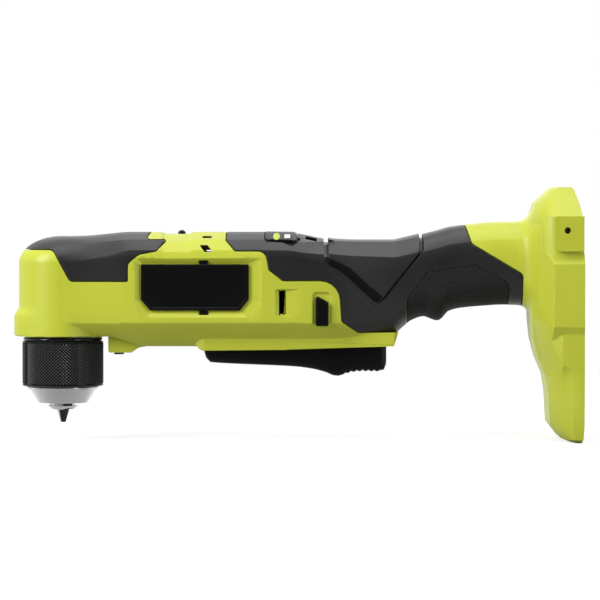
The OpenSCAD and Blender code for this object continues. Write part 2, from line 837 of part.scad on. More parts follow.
module mode_button() {
    color(black)
        in_body()
            translate([0, 0, mode_floor])
                linear_extrude(body_up + 0.1 - mode_floor)
                    polygon(rounded([[mode_x, -mode_w / 2, 2], [mode_x + mode_len, -mode_w / 2, 2],
                        [mode_x + mode_len, mode_w / 2, 2], [mode_x, mode_w / 2, 2]]));
}

module selector() {
    reach = body_half_w + selector_proud;
    color(black)
        in_body() {
            for (s = [-1, 1])
                on_side(s)
                    cross_prism(selector_side, body_half_w - 7, reach);
            block([selector_x - 2.2, 6.5 - body_half_w, selector_z - 4],
                [selector_x + 2.2, body_half_w - 6.5, selector_z + 3]);
            block([selector_x + 2, -1.5, selector_z + 1], [switch_x + 2, 1.5, selector_z + 3]);
        }
}

module trigger() {
    lip = [5, 5, 2];
    color(black)
        in_body()
            difference() {
                skin([for (row = trigger_rows) full_ring([row[0], trigger_half_w + row[1],
                    row[0] < 90 ? trigger_boss : trigger_top, row[2], [0.6, 0.6, 2],
                    row[2] > -34 ? [2, 2, 2] : lip])]);
                cross_rod(pivot_x, pivot_z, pin_r + run_fit, -far, far);
            }
}

module trigger_pin() {
    color(steel)
        in_body()
            cross_rod(pivot_x, pivot_z, pin_r, 1.2 - skirt_half_w, skirt_half_w - 1.2);
}

module trigger_spring() {
    steps = 12;
    low = trigger_top + spring_wire + 0.1;
    rise = spring_top - spring_wire - 0.1 - low;
    count = spring_turns * steps;
    color(steel)
        in_body()
            translate([spring_x, 0, low])
                skin([for (i = [0:count]) let (a = 360 * i / steps, z = rise * i / count)
                    [for (j = [0:5]) let (b = 60 * j, r = spring_r + spring_wire * cos(b))
                        [r * cos(a), r * sin(a), z + spring_wire * sin(b)]]]);
}

module switch_body() {
    color(black)
        in_body()
            difference() {
                block([switch_x, -switch_half_w, switch_z],
                    [switch_x + switch_len, switch_half_w, switch_z + switch_h]);
                translate([plunger_x, 0, switch_z - 1])
                    cylinder(r = plunger_r + run_fit, h = 14);
                block([switch_x - 1, -1.5 - selector_throw - move_gap, selector_z + 1 - move_gap],
                    [switch_x + 2 + move_gap, 1.5 + selector_throw + move_gap, selector_z + 3 + move_gap]);
            }
}

module switch_plunger() {
    color(soft_grey)
        in_body()
            translate([plunger_x, 0, trigger_top + move_gap])
                rotate_extrude()
                    polygon([[0, 0], [0.8, 0.05], [1.6, 0.25], [2.4, 0.8], [plunger_r, 1.6],
                        [plunger_r, plunger_len], [0, plunger_len]]);
}

module control_board() {
    top = board_z + board_t;
    color(board_green)
        in_body() {
            block([board_x, -board_half_w, board_z], [board_x + board_len, board_half_w, top]);
            for (x = [board_x, board_x + board_len - plug_len])
                block([x, -lead_y - 4, top - slice], [x + plug_len, lead_y + 4, top + plug_h]);
            for (i = [0:2])
                block([board_x + 12 + 7 * i, -9, top - slice], [board_x + 16 + 7 * i, 9, top + 1.6]);
        }
}

module motor_leads() {
    x = stator_x + stator_len + coil_len;
    color(copper)
        in_body()
            for (y = [-lead_y, 0, lead_y])
                translate([0, y, lead_z])
                    barrel(x, board_x - x, motor_lead_r);
}

module battery_leads() {
    x = board_x + board_len;
    color([0.6, 0.08, 0.06])
        in_body()
            for (s = [-1, 1])
                translate([0, s * lead_y, lead_z])
                    barrel(x, block_x - x, battery_lead_r);
}

blade_x = block_x + block_t;
blade_inset = 5;
blade_y = socket_w / 2 - blade_inset;

module terminal_block() {
    color(black)
        in_body()
            difference() {
                block([block_x, -socket_w / 2, socket_z], [blade_x, socket_w / 2, socket_z + socket_h]);
                blades();
            }
}

module blades() {
    for (s = [-1, 1])
        for (z = [socket_z + 6.5, socket_z + socket_h - 6.5])
            block([blade_x - 8, s * blade_y - 0.4, z - 3], [blade_x + 9, s * blade_y + 0.4, z + 3]);
}

module terminal_blades() {
    color(copper)
        in_body()
            blades();
}

module light_lens() {
    color(lens_grey)
        in_body()
            translate([light_x, 0, light_bottom - 1.2])
                cylinder(r = light_r, h = 3.6);
}

module light_board() {
    color(board_green)
        in_body()
            translate([light_x, 0, light_bottom + 2.4])
                cylinder(r = light_r + 1.4, h = 1.2);
}

module housing_screws() {
    color(steel)
        in_body()
            for (spot = screw_spots) {
                cross_rod(spot[0], spot[1], screw_r, screw_tip_y, screw_seat_y + 0.5);
                difference() {
                    cross_rod(spot[0], spot[1], screw_head_r, screw_seat_y, screw_seat_y + screw_head_h);
                    translate([spot[0], screw_seat_y + 1.2, spot[1]])
                        rotate([-90, 30, 0])
                            cylinder(r = 1.4, h = 3, $fn = 6);
                }
            }
}

module gear_case() {
    color(alloy)
        in_body()
            difference() {
                union() {
                    case_shape(0);
                    barrel(0, flange_x + 1, tube_r);
                    barrel(flange_x, ring_x - flange_x, motor_r);
                }
                translate([0, 0, bearing_z + bearing_h])
                    cylinder(r = case_in_r, h = bush_z - bearing_z - bearing_h);
                translate([0, 0, bearing_z])
                    cylinder(r = bearing_r, h = bearing_h + 1);
                translate([0, 0, case_bottom - 1])
                    cylinder(r = bearing_r + 1, h = bearing_z - case_bottom + 1);
                translate([0, 0, bush_z - 1])
                    cylinder(r = bush_r, h = bush_h + 1);
                barrel(0, pinion_bearing_x + 1, pinion_r + 2.4);
                barrel(pinion_bearing_x, pinion_bearing_w, pinion_bearing_r);
                barrel(pinion_bearing_x, carrier_x - pinion_bearing_x, pinion_bearing_r - 2);
                barrel(carrier_x - 0.6, 20, carrier_r + 0.6);
            }
}

module ring_gear() {
    color(steel)
        in_body()
            translate([ring_x, 0, 0])
                rotate([0, 90, 0])
                    linear_extrude(ring_len)
                        difference() {
                            circle(r = motor_r);
                            rotate(180 / ring_teeth)
                                polygon(gear_outline(ring_teeth, planet_module, -tooth_slack,
                                    root_part * planet_module, tip_part * planet_module));
                        }
}

module gearbox_plate() {
    color(alloy)
        in_body()
            difference() {
                barrel(plate_x, plate_t, motor_r);
                barrel(plate_x - 1, plate_t + 2, motor_bearing_r - 1.5);
                barrel(plate_x + 1, plate_t, motor_bearing_r);
            }
}

module stator_core() {
    slots = 6;
    tooth = 5;
    inner = rotor_r + rotor_gap;
    color(steel)
        in_body()
            translate([stator_x, 0, 0])
                rotate([0, 90, 0])
                    linear_extrude(stator_len)
                        difference() {
                            union() {
                                difference() {
                                    circle(r = motor_r);
                                    circle(r = motor_r - 3);
                                }
                                for (i = [0:slots - 1])
                                    rotate(360 * i / slots + 30)
                                        translate([inner, -tooth / 2])
                                            square([motor_r - inner - 1, tooth]);
                            }
                            circle(r = inner);
                        }
}

module stator_coils() {
    color(copper)
        in_body()
            for (x = [stator_x - coil_len, stator_x + stator_len])
                barrel(x, coil_len, motor_r - 1.5, rotor_r + 2);
}

module motor_end_plate() {
    color(black)
        in_body()
            difference() {
                union() {
                    barrel(end_plate_x, end_plate_t, motor_r);
                    barrel(end_plate_x, end_boss_x - end_plate_x, end_boss_r);
                }
                barrel(end_plate_x - 1, motor_bearing_w + 1, motor_bearing_r);
                for (y = [-lead_y, 0, lead_y])
                    translate([0, y, lead_z])
                        barrel(end_plate_x - 1, end_plate_t + 2, motor_lead_r + 0.2);
            }
}

module motor_front_bearing() {
    color(bright)
        in_body()
            barrel(plate_x + 1, motor_bearing_w, motor_bearing_r, shaft_r + run_fit);
}

module motor_rear_bearing() {
    color(bright)
        in_body()
            barrel(end_plate_x, motor_bearing_w, motor_bearing_r, shaft_r + run_fit);
}

module pinion_bearing() {
    color(bright)
        in_body()
            barrel(pinion_bearing_x, pinion_bearing_w, pinion_bearing_r, pinion_shaft_r + run_fit);
}

module spindle_bearing() {
    color(bright)
        in_body()
            translate([0, 0, bearing_z])
                ring(bearing_r, spindle_r + run_fit, bearing_h);
}

module spindle_bush() {
    color([0.72, 0.55, 0.28])
        in_body()
            translate([0, 0, bush_z])
                ring(bush_r, journal_r + run_fit, bush_h);
}

module bearing_retainer() {
    color(steel)
        in_body()
            translate([0, 0, bearing_z - 2])
                ring(bearing_r + 1, spindle_r + 3, 2);
}

module motor_shaft() {
    color(bright)
        in_body() {
            barrel(planet_x, end_plate_x + motor_bearing_w - planet_x, shaft_r);
            translate([planet_x, 0, 0])
                rotate([0, 90, 0])
                    linear_extrude(planet_w)
                        polygon(gear_outline(sun_teeth, planet_module, tooth_slack,
                            tip_part * planet_module, root_part * planet_module));
        }
}

module rotor() {
    color(steel)
        in_body()
            barrel(stator_x, stator_len, rotor_r, shaft_r);
}

module fan() {
    color(black)
        in_body()
            difference() {
                union() {
                    barrel(fan_x, fan_w, 6);
                    barrel(fan_x + fan_w - 1.5, 1.5, fan_r);
                    for (i = [0:fan_blades - 1])
                        rotate([360 * i / fan_blades, 0, 0])
                            block([fan_x, -0.6, 5.5], [fan_x + fan_w - 1, 0.6, fan_r - 0.5]);
                }
                barrel(fan_x - 1, fan_w + 2, shaft_r);
            }
}

module carrier() {
    color(steel)
        in_body()
            difference() {
                union() {
                    barrel(carrier_x, carrier_t, carrier_r);
                    barrel(pinion_bearing_x - 2, carrier_x - pinion_bearing_x + 2.5, pinion_shaft_r);
                }
                for (i = [0:planet_count - 1])
                    rotate([jaw_step * i, 0, 0])
                        translate([0, 0, -planet_orbit])
                            barrel(carrier_x - 1, carrier_t + 2, planet_pin_r);
            }
}

module planet_pins() {
    color(bright)
        in_body()
            for (i = [0:planet_count - 1])
                rotate([jaw_step * i, 0, 0])
                    translate([0, 0, -planet_orbit])
                        barrel(carrier_x, carrier_t + planet_w + 1, planet_pin_r);
}

// Planet gear number i, in mesh with the sun and the ring
module planet(i) {
    color(bright)
        in_body()
            rotate([jaw_step * i, 0, 0])
                translate([planet_x, 0, -planet_orbit])
                    rotate([0, 90, 0])
                        linear_extrude(planet_w)
                            difference() {
                                rotate(180 / planet_teeth)
                                    polygon(gear_outline(planet_teeth, planet_module, tooth_slack,
                                        tip_part * planet_module, root_part * planet_module));
                                circle(r = planet_pin_r + run_fit);
                            }
}

module planet_1() {
    planet(0);
}

module planet_2() {
    planet(1);
}

module planet_3() {
    planet(2);
}

// Bevel gear about Z with its apex at the origin
module bevel(teeth, tilt) {
    n = teeth * 2 * (tooth_steps + 1);
    polyhedron(points = concat(bevel_ring(teeth, tilt, bevel_inner), bevel_ring(teeth, tilt, 1),
        [[0, 0, bevel_inner * bevel_root_z(tilt)], [0, 0, bevel_root_z(tilt)]]),
        faces = [for (i = [0:n - 1]) let (j = (i + 1) % n)
            each [[i, i + n, j + n], [i, j + n, j], [i, j, 2 * n], [j + n, i + n, 2 * n + 1]]]);
}

module bevel_pinion() {
    root_z = bevel_root_z(pinion_tilt);
    color(bright)
        in_body()
            difference() {
                union() {
                    rotate([0, 90, 0])
                        bevel(pinion_teeth, pinion_tilt);
                    barrel(root_z - 2, pinion_bearing_x - root_z + 1.8, pinion_shaft_r + 1);
                }
                barrel(pinion_bearing_x - 2, 5, pinion_shaft_r);
            }
}

module bevel_gear() {
    back = bevel_root_z(bevel_tilt);
    color(bright)
        in_body()
            rotate([180, 0, 0])
                difference() {
                    union() {
                        rotate(180 / bevel_teeth)
                            bevel(bevel_teeth, bevel_tilt);
                        translate([0, 0, back - 0.5])
                            cylinder(r = bevel_r - 2.5, h = 2.5);
                        translate([0, 0, back - 0.5])
                            cylinder(r = spindle_r + 2.5, h = -bearing_z - bearing_h - 0.2 - back + 0.5);
                    }
                    cylinder(r = spindle_r, h = far);
                }
}

module spindle() {
    thread_z = -motor_z + jaw_top_z + 1.5;
    color(steel)
        in_body()
            rotate_extrude()
                polygon([[0, thread_z], [thread_r, thread_z], [thread_r, 0.4 - head_down - head_gap],
                    [spindle_r + 2, 0.4 - head_down - head_gap], [spindle_r + 2, bearing_z - 0.3],
                    [spindle_r, bearing_z - 0.3], [spindle_r, 2.5], [journal_r, 3.5],
                    [journal_r, bush_z + bush_h - 0.3], [0, bush_z + bush_h - 0.3]]);
}

// Bore or rod along the path of jaw number i
module jaw_path(i, r, low, high) {
    rotate([0, 0, jaw_step * i + jaw_turn])
        translate([jaw_tip_rho, 0, -jaw_reach])
            rotate([0, jaw_angle, 0])
                translate([0, 0, low])
                    cylinder(r = r, h = high - low);
}

module chuck_body() {
    play = 0.3;
    wall_r = core_r - play;
    neck_r = core_r - 3;
    gap_z = nose_ring_h + nose_gap_h;
    color(bright)
        difference() {
            rotate_extrude()
                polygon([[0, 0], [nose_ring_r, 0], [nose_ring_r, nose_ring_h],
                    [nose_ring_r - 0.6, nose_ring_h], [nose_ring_r - 0.6, gap_z], [nose_r, gap_z],
                    [nose_wide_r, sleeve_z - play], [wall_r, sleeve_z - play], [wall_r, nut_z - play],
                    [groove_r, nut_z - play], [groove_r, nut_z + nut_h + play],
                    [wall_r, nut_z + nut_h + play], [wall_r, sleeve_top], [neck_r, sleeve_top],
                    [neck_r, chuck_top - 0.2], [0, chuck_top - 0.2]]);
            for (i = [0:jaw_count - 1])
                jaw_path(i, jaw_r + 0.1, -4, 60);
            translate([0, 0, jaw_top_z])
                cylinder(r = thread_r, h = far);
            translate([0, 0, jaw_top_z - 6])
                cylinder(r = 2, h = far);
        }
}

module chuck_back() {
    color(black)
        translate([0, 0, sleeve_top + 0.3])
            ring(sleeve_r - 1.2, core_r - 3, back_h);
}

module chuck_screw() {
    color(steel)
        translate([0, 0, jaw_top_z - 3])
            cylinder(r = 2, h = 4.5);
}

module chuck_sleeve() {
    grooves = 4;
    relief_z = nut_z + nut_h + 0.3 - sleeve_z;
    color(black)
        difference() {
            translate([0, 0, sleeve_z])
                rotate_extrude()
                    polygon([[core_r, 0], [sleeve_r - 1.6, 0], [sleeve_r, 1.4], [sleeve_r, sleeve_h - 0.6],
                        [sleeve_r - 0.6, sleeve_h], [core_r + sleeve_relief, sleeve_h],
                        [core_r + sleeve_relief, relief_z], [core_r, relief_z]]);
            for (i = [0:grooves - 1])
                rotate([0, 0, 360 * i / grooves - 56])
                    translate([sleeve_r + 0.9, 0, sleeve_z - 1])
                        cylinder(r = 1.5, h = sleeve_h + 2);
        }
}

module chuck_nut() {
    low = jaw_tip_rho + (nut_z + jaw_reach) * tan(jaw_angle) + (jaw_r + 0.3) / cos(jaw_angle);
    color(steel)
        translate([0, 0, nut_z])
            rotate_extrude()
                polygon([[low, 0], [core_r - 0.1, 0], [core_r - 0.1, nut_h],
                    [low + nut_h * tan(jaw_angle), nut_h]]);
}

// Jaw number i: a slanted rod with a ground tip and two gripping flanks
module jaw(i) {
    color(bright)
        intersection() {
            jaw_path(i, jaw_r, -6, 60);
            rotate([0, 0, jaw_step * i + jaw_turn])
                translate([0.15, 0, -jaw_reach])
                    linear_extrude(jaw_reach + jaw_top_z)
                        polygon([[0, 0], [far, -far * tan(59)], [far, far * tan(59)]]);
            union() {
                translate([0, 0, -jaw_reach])
                    cylinder(r1 = 1.4, r2 = 3.4, h = jaw_reach + 0.4);
                translate([0, 0, 0.4 - slice])
                    cylinder(r = far, h = far);
            }
        }
}

module jaw_1() {
    jaw(0);
}

module jaw_2() {
    jaw(1);
}

module jaw_3() {
    jaw(2);
}

housing_left();
housing_right();
head_bumper();
overmold_left();
overmold_right();
saddle_pad();
grip_left();
grip_right();
nameplate_left();
nameplate_right();
collar_stud();
mode_button();
selector();
trigger();
trigger_pin();
trigger_spring();
switch_body();
switch_plunger();
control_board();
motor_leads();
battery_leads();
terminal_block();
terminal_blades();
light_lens();
light_board();
housing_screws();
gear_case();
ring_gear();
gearbox_plate();
stator_core();
stator_coils();
motor_end_plate();
motor_front_bearing();
motor_rear_bearing();
pinion_bearing();
spindle_bearing();
spindle_bush();
bearing_retainer();
motor_shaft();
rotor();
fan();
carrier();
planet_pins();
bevel_pinion();
planet_1();
planet_2();
planet_3();
spindle();
bevel_gear();
chuck_body();
chuck_back();
chuck_screw();
chuck_sleeve();
chuck_nut();
jaw_1();
jaw_2();
jaw_3();
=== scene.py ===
import json
import math
import bmesh
import bpy
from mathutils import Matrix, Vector, bvhtree


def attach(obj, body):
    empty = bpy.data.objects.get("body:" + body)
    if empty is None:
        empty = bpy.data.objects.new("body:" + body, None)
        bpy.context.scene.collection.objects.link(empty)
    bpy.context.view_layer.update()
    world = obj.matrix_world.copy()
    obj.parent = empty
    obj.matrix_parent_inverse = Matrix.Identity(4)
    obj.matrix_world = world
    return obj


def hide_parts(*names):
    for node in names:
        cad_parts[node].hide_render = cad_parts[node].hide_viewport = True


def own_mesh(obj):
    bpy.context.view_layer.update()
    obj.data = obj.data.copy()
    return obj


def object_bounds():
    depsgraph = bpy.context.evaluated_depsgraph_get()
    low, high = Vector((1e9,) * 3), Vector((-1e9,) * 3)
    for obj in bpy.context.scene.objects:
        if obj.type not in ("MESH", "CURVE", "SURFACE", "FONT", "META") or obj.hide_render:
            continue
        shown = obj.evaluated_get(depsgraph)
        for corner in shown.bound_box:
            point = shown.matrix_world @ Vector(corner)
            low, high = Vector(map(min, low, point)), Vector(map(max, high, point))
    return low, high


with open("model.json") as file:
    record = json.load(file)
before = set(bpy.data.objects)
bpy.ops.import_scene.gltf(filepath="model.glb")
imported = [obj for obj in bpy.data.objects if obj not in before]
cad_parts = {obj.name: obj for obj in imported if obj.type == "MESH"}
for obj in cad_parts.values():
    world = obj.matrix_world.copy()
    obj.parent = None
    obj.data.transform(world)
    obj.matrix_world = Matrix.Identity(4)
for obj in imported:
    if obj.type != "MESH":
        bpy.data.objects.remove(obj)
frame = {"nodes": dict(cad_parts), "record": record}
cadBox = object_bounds()
mm = 0.001
axisZ = 63.0    # motor axis above the chuck's nose, where the CAD has it
farOut = 80.0    # clear of the object on every side
print("frame loaded with", len(frame["nodes"]), "nodes")


# node helpers

def startFinish(name):
    finish = bpy.data.materials.new(name)
    finish.use_nodes = True
    return finish, finish.node_tree, finish.node_tree.nodes["Principled BSDF"]


def feed(tree, value, socket):
    # a plain number is set on the socket, anything else is linked to it
    if isinstance(value, (int, float)):
        socket.default_value = value
    else:
        tree.links.new(value, socket)


def mathNode(tree, operation, a, b=0.0):
    node = tree.nodes.new("ShaderNodeMath")
    node.operation = operation
    for socket, value in zip(node.inputs, (a, b)):
        feed(tree, value, socket)
    return node.outputs[0]


def rangeNode(tree, value, low, high, toLow=0.0, toHigh=1.0):
    node = tree.nodes.new("ShaderNodeMapRange")
    for label, number in (("From Min", low), ("From Max", high), ("To Min", toLow), ("To Max", toHigh)):
        node.inputs[label].default_value = number
    tree.links.new(value, node.inputs["Value"])
    return node.outputs["Result"]


def splitNode(tree, vector):
    node = tree.nodes.new("ShaderNodeSeparateXYZ")
    tree.links.new(vector, node.inputs[0])
    return node.outputs


def noiseNode(tree, coordinates, scale, detail, roughness):
    node = tree.nodes.new("ShaderNodeTexNoise")
    node.inputs["Detail"].default_value = detail
    node.inputs["Roughness"].default_value = roughness
    feed(tree, scale, node.inputs["Scale"])
    tree.links.new(coordinates, node.inputs["Vector"])
    return node.outputs[0]


# camera, floor and light; dim goes from one y to another and from one brightness to another

stageX = 0.13
cameraSetup = dict(target=(122.4, -13.0, 56.7), width=307.2, away=1600.0, rise=1.5, sensor=36.0)
floorSetup = dict(size=2.4, colour=(0.3, 0.3, 0.3), glow=0.76, fade=(0.3, 0.9), gap=0.05, dim=(-0.03, 0.04, 0.12, 1.0))
skySetup = dict(strength=0.27, dim=(-0.35, 0.15, 0.08, 1.0))
lampTarget = (stageX, 0, 0.06)
lampSetup = [
    dict(name="keyLight", place=(-0.88, -0.64, 0.62), size=(0.35, 0.9), power=13.0),
    dict(name="topLight", place=(0.2, -0.25, 1.25), size=(1.1, 1.1), power=8.5),
    dict(name="sideLight", place=(1.0, -0.85, 0.3), size=(0.2, 0.8), power=2.5),
    dict(name="backLight", place=(0.3, 1.6, 0.9), size=(1.3, 1.3), power=4.0)]


def clearSelection():
    if bpy.context.mode != "OBJECT":
        bpy.ops.object.mode_set(mode="OBJECT")
    bpy.ops.object.select_all(action="DESELECT")


def activate(piece):
    clearSelection()
    piece.select_set(True)
    bpy.context.view_layer.objects.active = piece


def makeCamera():
    clearSelection()
    rise = math.radians(cameraSetup["rise"])
    away = Vector((0, -math.cos(rise), math.sin(rise))) * cameraSetup["away"]
    place = (Vector(cameraSetup["target"]) + away) * mm
    bpy.ops.object.camera_add(location=place, rotation=(math.pi / 2 - rise, 0, 0))
    camera = bpy.context.object
    camera.name = "photoCamera"
    camera.data.sensor_width = cameraSetup["sensor"]
    camera.data.lens = cameraSetup["sensor"] * cameraSetup["away"] / cameraSetup["width"]
    camera.data.clip_end = 100
    bpy.context.scene.camera = camera


def makeLamps():
    for lamp in lampSetup:
        clearSelection()
        bpy.ops.object.light_add(type="AREA", location=lamp["place"])
        light = bpy.context.object
        light.name = lamp["name"]
        light.rotation_euler = (Vector(lampTarget) - light.location).to_track_quat("-Z", "Y").to_euler()
        light.data.shape = "RECTANGLE"
        light.data.size, light.data.size_y = lamp["size"]
        light.data.energy = lamp["power"]


def seenDirectly(tree):
    # 1 for rays that come straight from the camera, a mirror or a lens
    path = tree.nodes.new("ShaderNodeLightPath").outputs
    straight = mathNode(tree, "MAXIMUM", path["Is Camera Ray"], path["Is Glossy Ray"])
    return mathNode(tree, "MAXIMUM", straight, path["Is Transmission Ray"])


def roomLight(tree, where, dim):
    # in reflections the room is bright behind the object and dim behind the camera; the backdrop itself is white
    level = rangeNode(tree, splitNode(tree, where)["Y"], *dim)
    return mathNode(tree, "MAXIMUM", level, tree.nodes.new("ShaderNodeLightPath").outputs["Is Camera Ray"])


def makeSky():
    world = bpy.data.worlds.new("studio")
    bpy.context.scene.world = world
    world.use_nodes = True
    tree = world.node_tree
    back = tree.nodes["Background"]
    back.inputs["Color"].default_value = (1, 1, 1, 1)
    where = tree.nodes.new("ShaderNodeTexCoord").outputs["Generated"]
    level = tree.nodes.new("ShaderNodeMix")
    level.inputs["A"].default_value = skySetup["strength"]
    tree.links.new(roomLight(tree, where, skySetup["dim"]), level.inputs["B"])
    tree.links.new(seenDirectly(tree), level.inputs["Factor"])
    tree.links.new(level.outputs["Result"], back.inputs["Strength"])


def makeFloor():
    clearSelection()
    place = (stageX, 0, cadBox[0].z - floorSetup["gap"] * mm)
    bpy.ops.mesh.primitive_plane_add(size=floorSetup["size"], location=place)
    floor = bpy.context.object
    floor.name = "paleFloor"
    paint, tree, shader = startFinish("paleFloor")
    shader.inputs["Roughness"].default_value = 0.9
    shader.inputs["Base Color"].default_value = (*floorSetup["colour"], 1)
    shader.inputs["Emission Color"].default_value = (1, 1, 1, 1)
    where = tree.nodes.new("ShaderNodeTexCoord").outputs["Object"]
    glow = mathNode(tree, "MULTIPLY", seenDirectly(tree), floorSetup["glow"])    # nearly white, and the shadow stays
    shine = mathNode(tree, "MULTIPLY", glow, roomLight(tree, where, floorSetup["dim"]))
    tree.links.new(shine, shader.inputs["Emission Strength"])
    reach = tree.nodes.new("ShaderNodeVectorMath")    # the floor fades into the white of the room
    reach.operation = "LENGTH"
    tree.links.new(where, reach.inputs[0])
    tree.links.new(rangeNode(tree, reach.outputs["Value"], *floorSetup["fade"], 1.0, 0.0), shader.inputs["Alpha"])
    floor.data.materials.append(paint)


makeCamera()
makeLamps()
makeSky()
makeFloor()
bpy.context.scene.view_settings.view_transform = "Standard"
print("camera, lamps and floor placed")


# node groups that several finishes share

def newGroup(name, label, value, *outputs):
    # a group with one number to set, which reads the place on the object
    group = bpy.data.node_groups.new(name, "ShaderNodeTree")
    group.interface.new_socket(label, in_out="INPUT", socket_type="NodeSocketFloat").default_value = value
    for output in outputs:
        group.interface.new_socket(output, in_out="OUTPUT", socket_type="NodeSocketFloat")
    number = group.nodes.new("NodeGroupInput").outputs[label]
    where = group.nodes.new("ShaderNodeTexCoord").outputs["Object"]
    return group, number, where, group.nodes.new("NodeGroupOutput").inputs


def makeMouldGrain():
    # spark-eroded mould texture: fine pits with a coarser unevenness
    group, scale, where, ends = newGroup("mouldGrain", "Scale", 2600.0, "Height", "Cloud")
    group.links.new(noiseNode(group, where, scale, 3.0, 0.6), ends["Height"])
    coarse = noiseNode(group, where, 38.0, 4.0, 0.55)
    group.links.new(rangeNode(group, coarse, 0.3, 0.7), ends["Cloud"])
    return group


def makeHandlingMarks():
    # faint scuffs: stretched noise, thinned to a few streaks
    group, amount, where, ends = newGroup("handlingMarks", "Amount", 0.5, "Mask")
    mapping = group.nodes.new("ShaderNodeMapping")
    mapping.inputs["Rotation"].default_value = (0.3, 0.5, 0.2)
    mapping.inputs["Scale"].default_value = (60, 260, 420)
    group.links.new(where, mapping.inputs["Vector"])
    thin = rangeNode(group, noiseNode(group, mapping.outputs["Vector"], 1.0, 6.0, 0.7), 0.6, 0.76)
    patch = rangeNode(group, noiseNode(group, where, 22.0, 2.0, 0.5), 0.45, 0.7)
    streaks = mathNode(group, "MULTIPLY", thin, patch)
    group.links.new(mathNode(group, "MULTIPLY", streaks, amount), ends["Mask"])
    return group


def makeTurnedLines():
    # lathe marks: noise that changes along the axis and across the radius, not round it
    group, scale, where, ends = newGroup("turnedLines", "Scale", 9000.0, "Height")
    apart = splitNode(group, where)
    squares = [mathNode(group, "MULTIPLY", apart[label], apart[label]) for label in "XY"]
    radius = mathNode(group, "SQRT", mathNode(group, "ADD", *squares))
    along = mathNode(group, "ADD", radius, mathNode(group, "MULTIPLY", apart["Z"], 1.7))
    joined = group.nodes.new("ShaderNodeCombineXYZ")
    group.links.new(along, joined.inputs["X"])
    group.links.new(noiseNode(group, joined.outputs[0], scale, 2.0, 0.6), ends["Height"])
    return group


def makeGripGrid():
    # raised squares in rows along the handle, pitch in millimetres
    group, pitch, where, ends = newGroup("gripGrid", "Pitch", 1.05, "Height", "Top")
    apart = splitNode(group, where)
    turns = mathNode(group, "DIVIDE", math.pi / mm, pitch)
    waves = []
    for label in "XZ":
        wave = mathNode(group, "SINE", mathNode(group, "MULTIPLY", apart[label], turns))
        waves.append(mathNode(group, "ABSOLUTE", wave))
    low = mathNode(group, "MINIMUM", *waves)
    group.links.new(rangeNode(group, low, 0.2, 0.55), ends["Height"])
    # mask of the squares' tops, which the grip finish paints paler: painted highlight
    group.links.new(rangeNode(group, low, 0.3, 0.8), ends["Top"])
    return group


mouldGrain = makeMouldGrain()
handlingMarks = makeHandlingMarks()
turnedLines = makeTurnedLines()
gripGrid = makeGripGrid()


def useGroup(tree, group, **values):
    node = tree.nodes.new("ShaderNodeGroup")
    node.node_tree = group
    for label, value in values.items():
        node.inputs[label].default_value = value
    return node.outputs


def addColour(tree, shader, factor, low, high):
    node = tree.nodes.new("ShaderNodeMix")
    node.data_type = "RGBA"
    node.inputs[6].default_value = (*low, 1)    # the colour sockets of a mix node have no names of their own
    node.inputs[7].default_value = (*high, 1)
    tree.links.new(factor, node.inputs[0])
    tree.links.new(node.outputs[2], shader.inputs["Base Color"])


def addBump(tree, shader, height, strength, distance):
    bump = tree.nodes.new("ShaderNodeBump")
    bump.inputs["Strength"].default_value = strength
    bump.inputs["Distance"].default_value = distance * mm
    tree.links.new(height, bump.inputs["Height"])
    tree.links.new(bump.outputs["Normal"], shader.inputs["Normal"])


def mouldedFinish(name, colour, shade, roughness, grain=2600.0, depth=0.05, strength=0.25, specular=0.5):
    # moulded plastic or rubber: two close shades, pitted surface, a few duller scuffs
    finish, tree, shader = startFinish(name)
    texture = useGroup(tree, mouldGrain, Scale=grain)
    scuff = useGroup(tree, handlingMarks, Amount=0.35)
    addColour(tree, shader, texture["Cloud"], colour, shade)
    base = rangeNode(tree, texture["Cloud"], 0.0, 1.0, *roughness)
    dull = mathNode(tree, "ADD", base, mathNode(tree, "MULTIPLY", scuff["Mask"], 0.2))
    tree.links.new(dull, shader.inputs["Roughness"])
    shader.inputs["Specular IOR Level"].default_value = specular
    addBump(tree, shader, texture["Height"], strength, depth)
    return finish


def turnedFinish(name, colour, shade, roughness, strength=0.25):
    # turned or ground metal with rings of tool marks
    finish, tree, shader = startFinish(name)
    lines = useGroup(tree, turnedLines, Scale=9000.0)
    texture = useGroup(tree, mouldGrain, Scale=900.0)
    addColour(tree, shader, texture["Cloud"], colour, shade)
    tree.links.new(rangeNode(tree, lines["Height"], 0.3, 0.7, *roughness), shader.inputs["Roughness"])
    shader.inputs["Metallic"].default_value = 1.0
    addBump(tree, shader, lines["Height"], strength, 0.02)
    return finish


def gripFinish(name, colour, top):
    finish, tree, shader = startFinish(name)
    grid = useGroup(tree, gripGrid, Pitch=1.05)
    texture = useGroup(tree, mouldGrain, Scale=3200.0)
    # the tops of the raised squares are painted paler than the gaps between them: painted highlight and painted shade
    addColour(tree, shader, grid["Top"], colour, top)
    tree.links.new(rangeNode(tree, texture["Cloud"], 0.0, 1.0, 0.62, 0.75), shader.inputs["Roughness"])
    shader.inputs["Specular IOR Level"].default_value = 0.35
    addBump(tree, shader, grid["Height"], 1.0, 0.4)
    return finish


def knurlFinish(name, groove, point):
    # black plastic with painted highlights on the knurl points and painted shade in the grooves between them
    finish, tree, shader = startFinish(name)
    texture = useGroup(tree, mouldGrain, Scale=2400.0)
    peak = tree.nodes.new("ShaderNodeAttribute")
    peak.attribute_name = "peak"
    level = rangeNode(tree, peak.outputs["Fac"], 0.2, 0.9)
    addColour(tree, shader, level, groove, point)
    tree.links.new(rangeNode(tree, level, 0.0, 1.0, 0.42, 0.2), shader.inputs["Roughness"])
    shader.inputs["Specular IOR Level"].default_value = 0.22
    addBump(tree, shader, texture["Height"], 0.1, 0.02)
    return finish


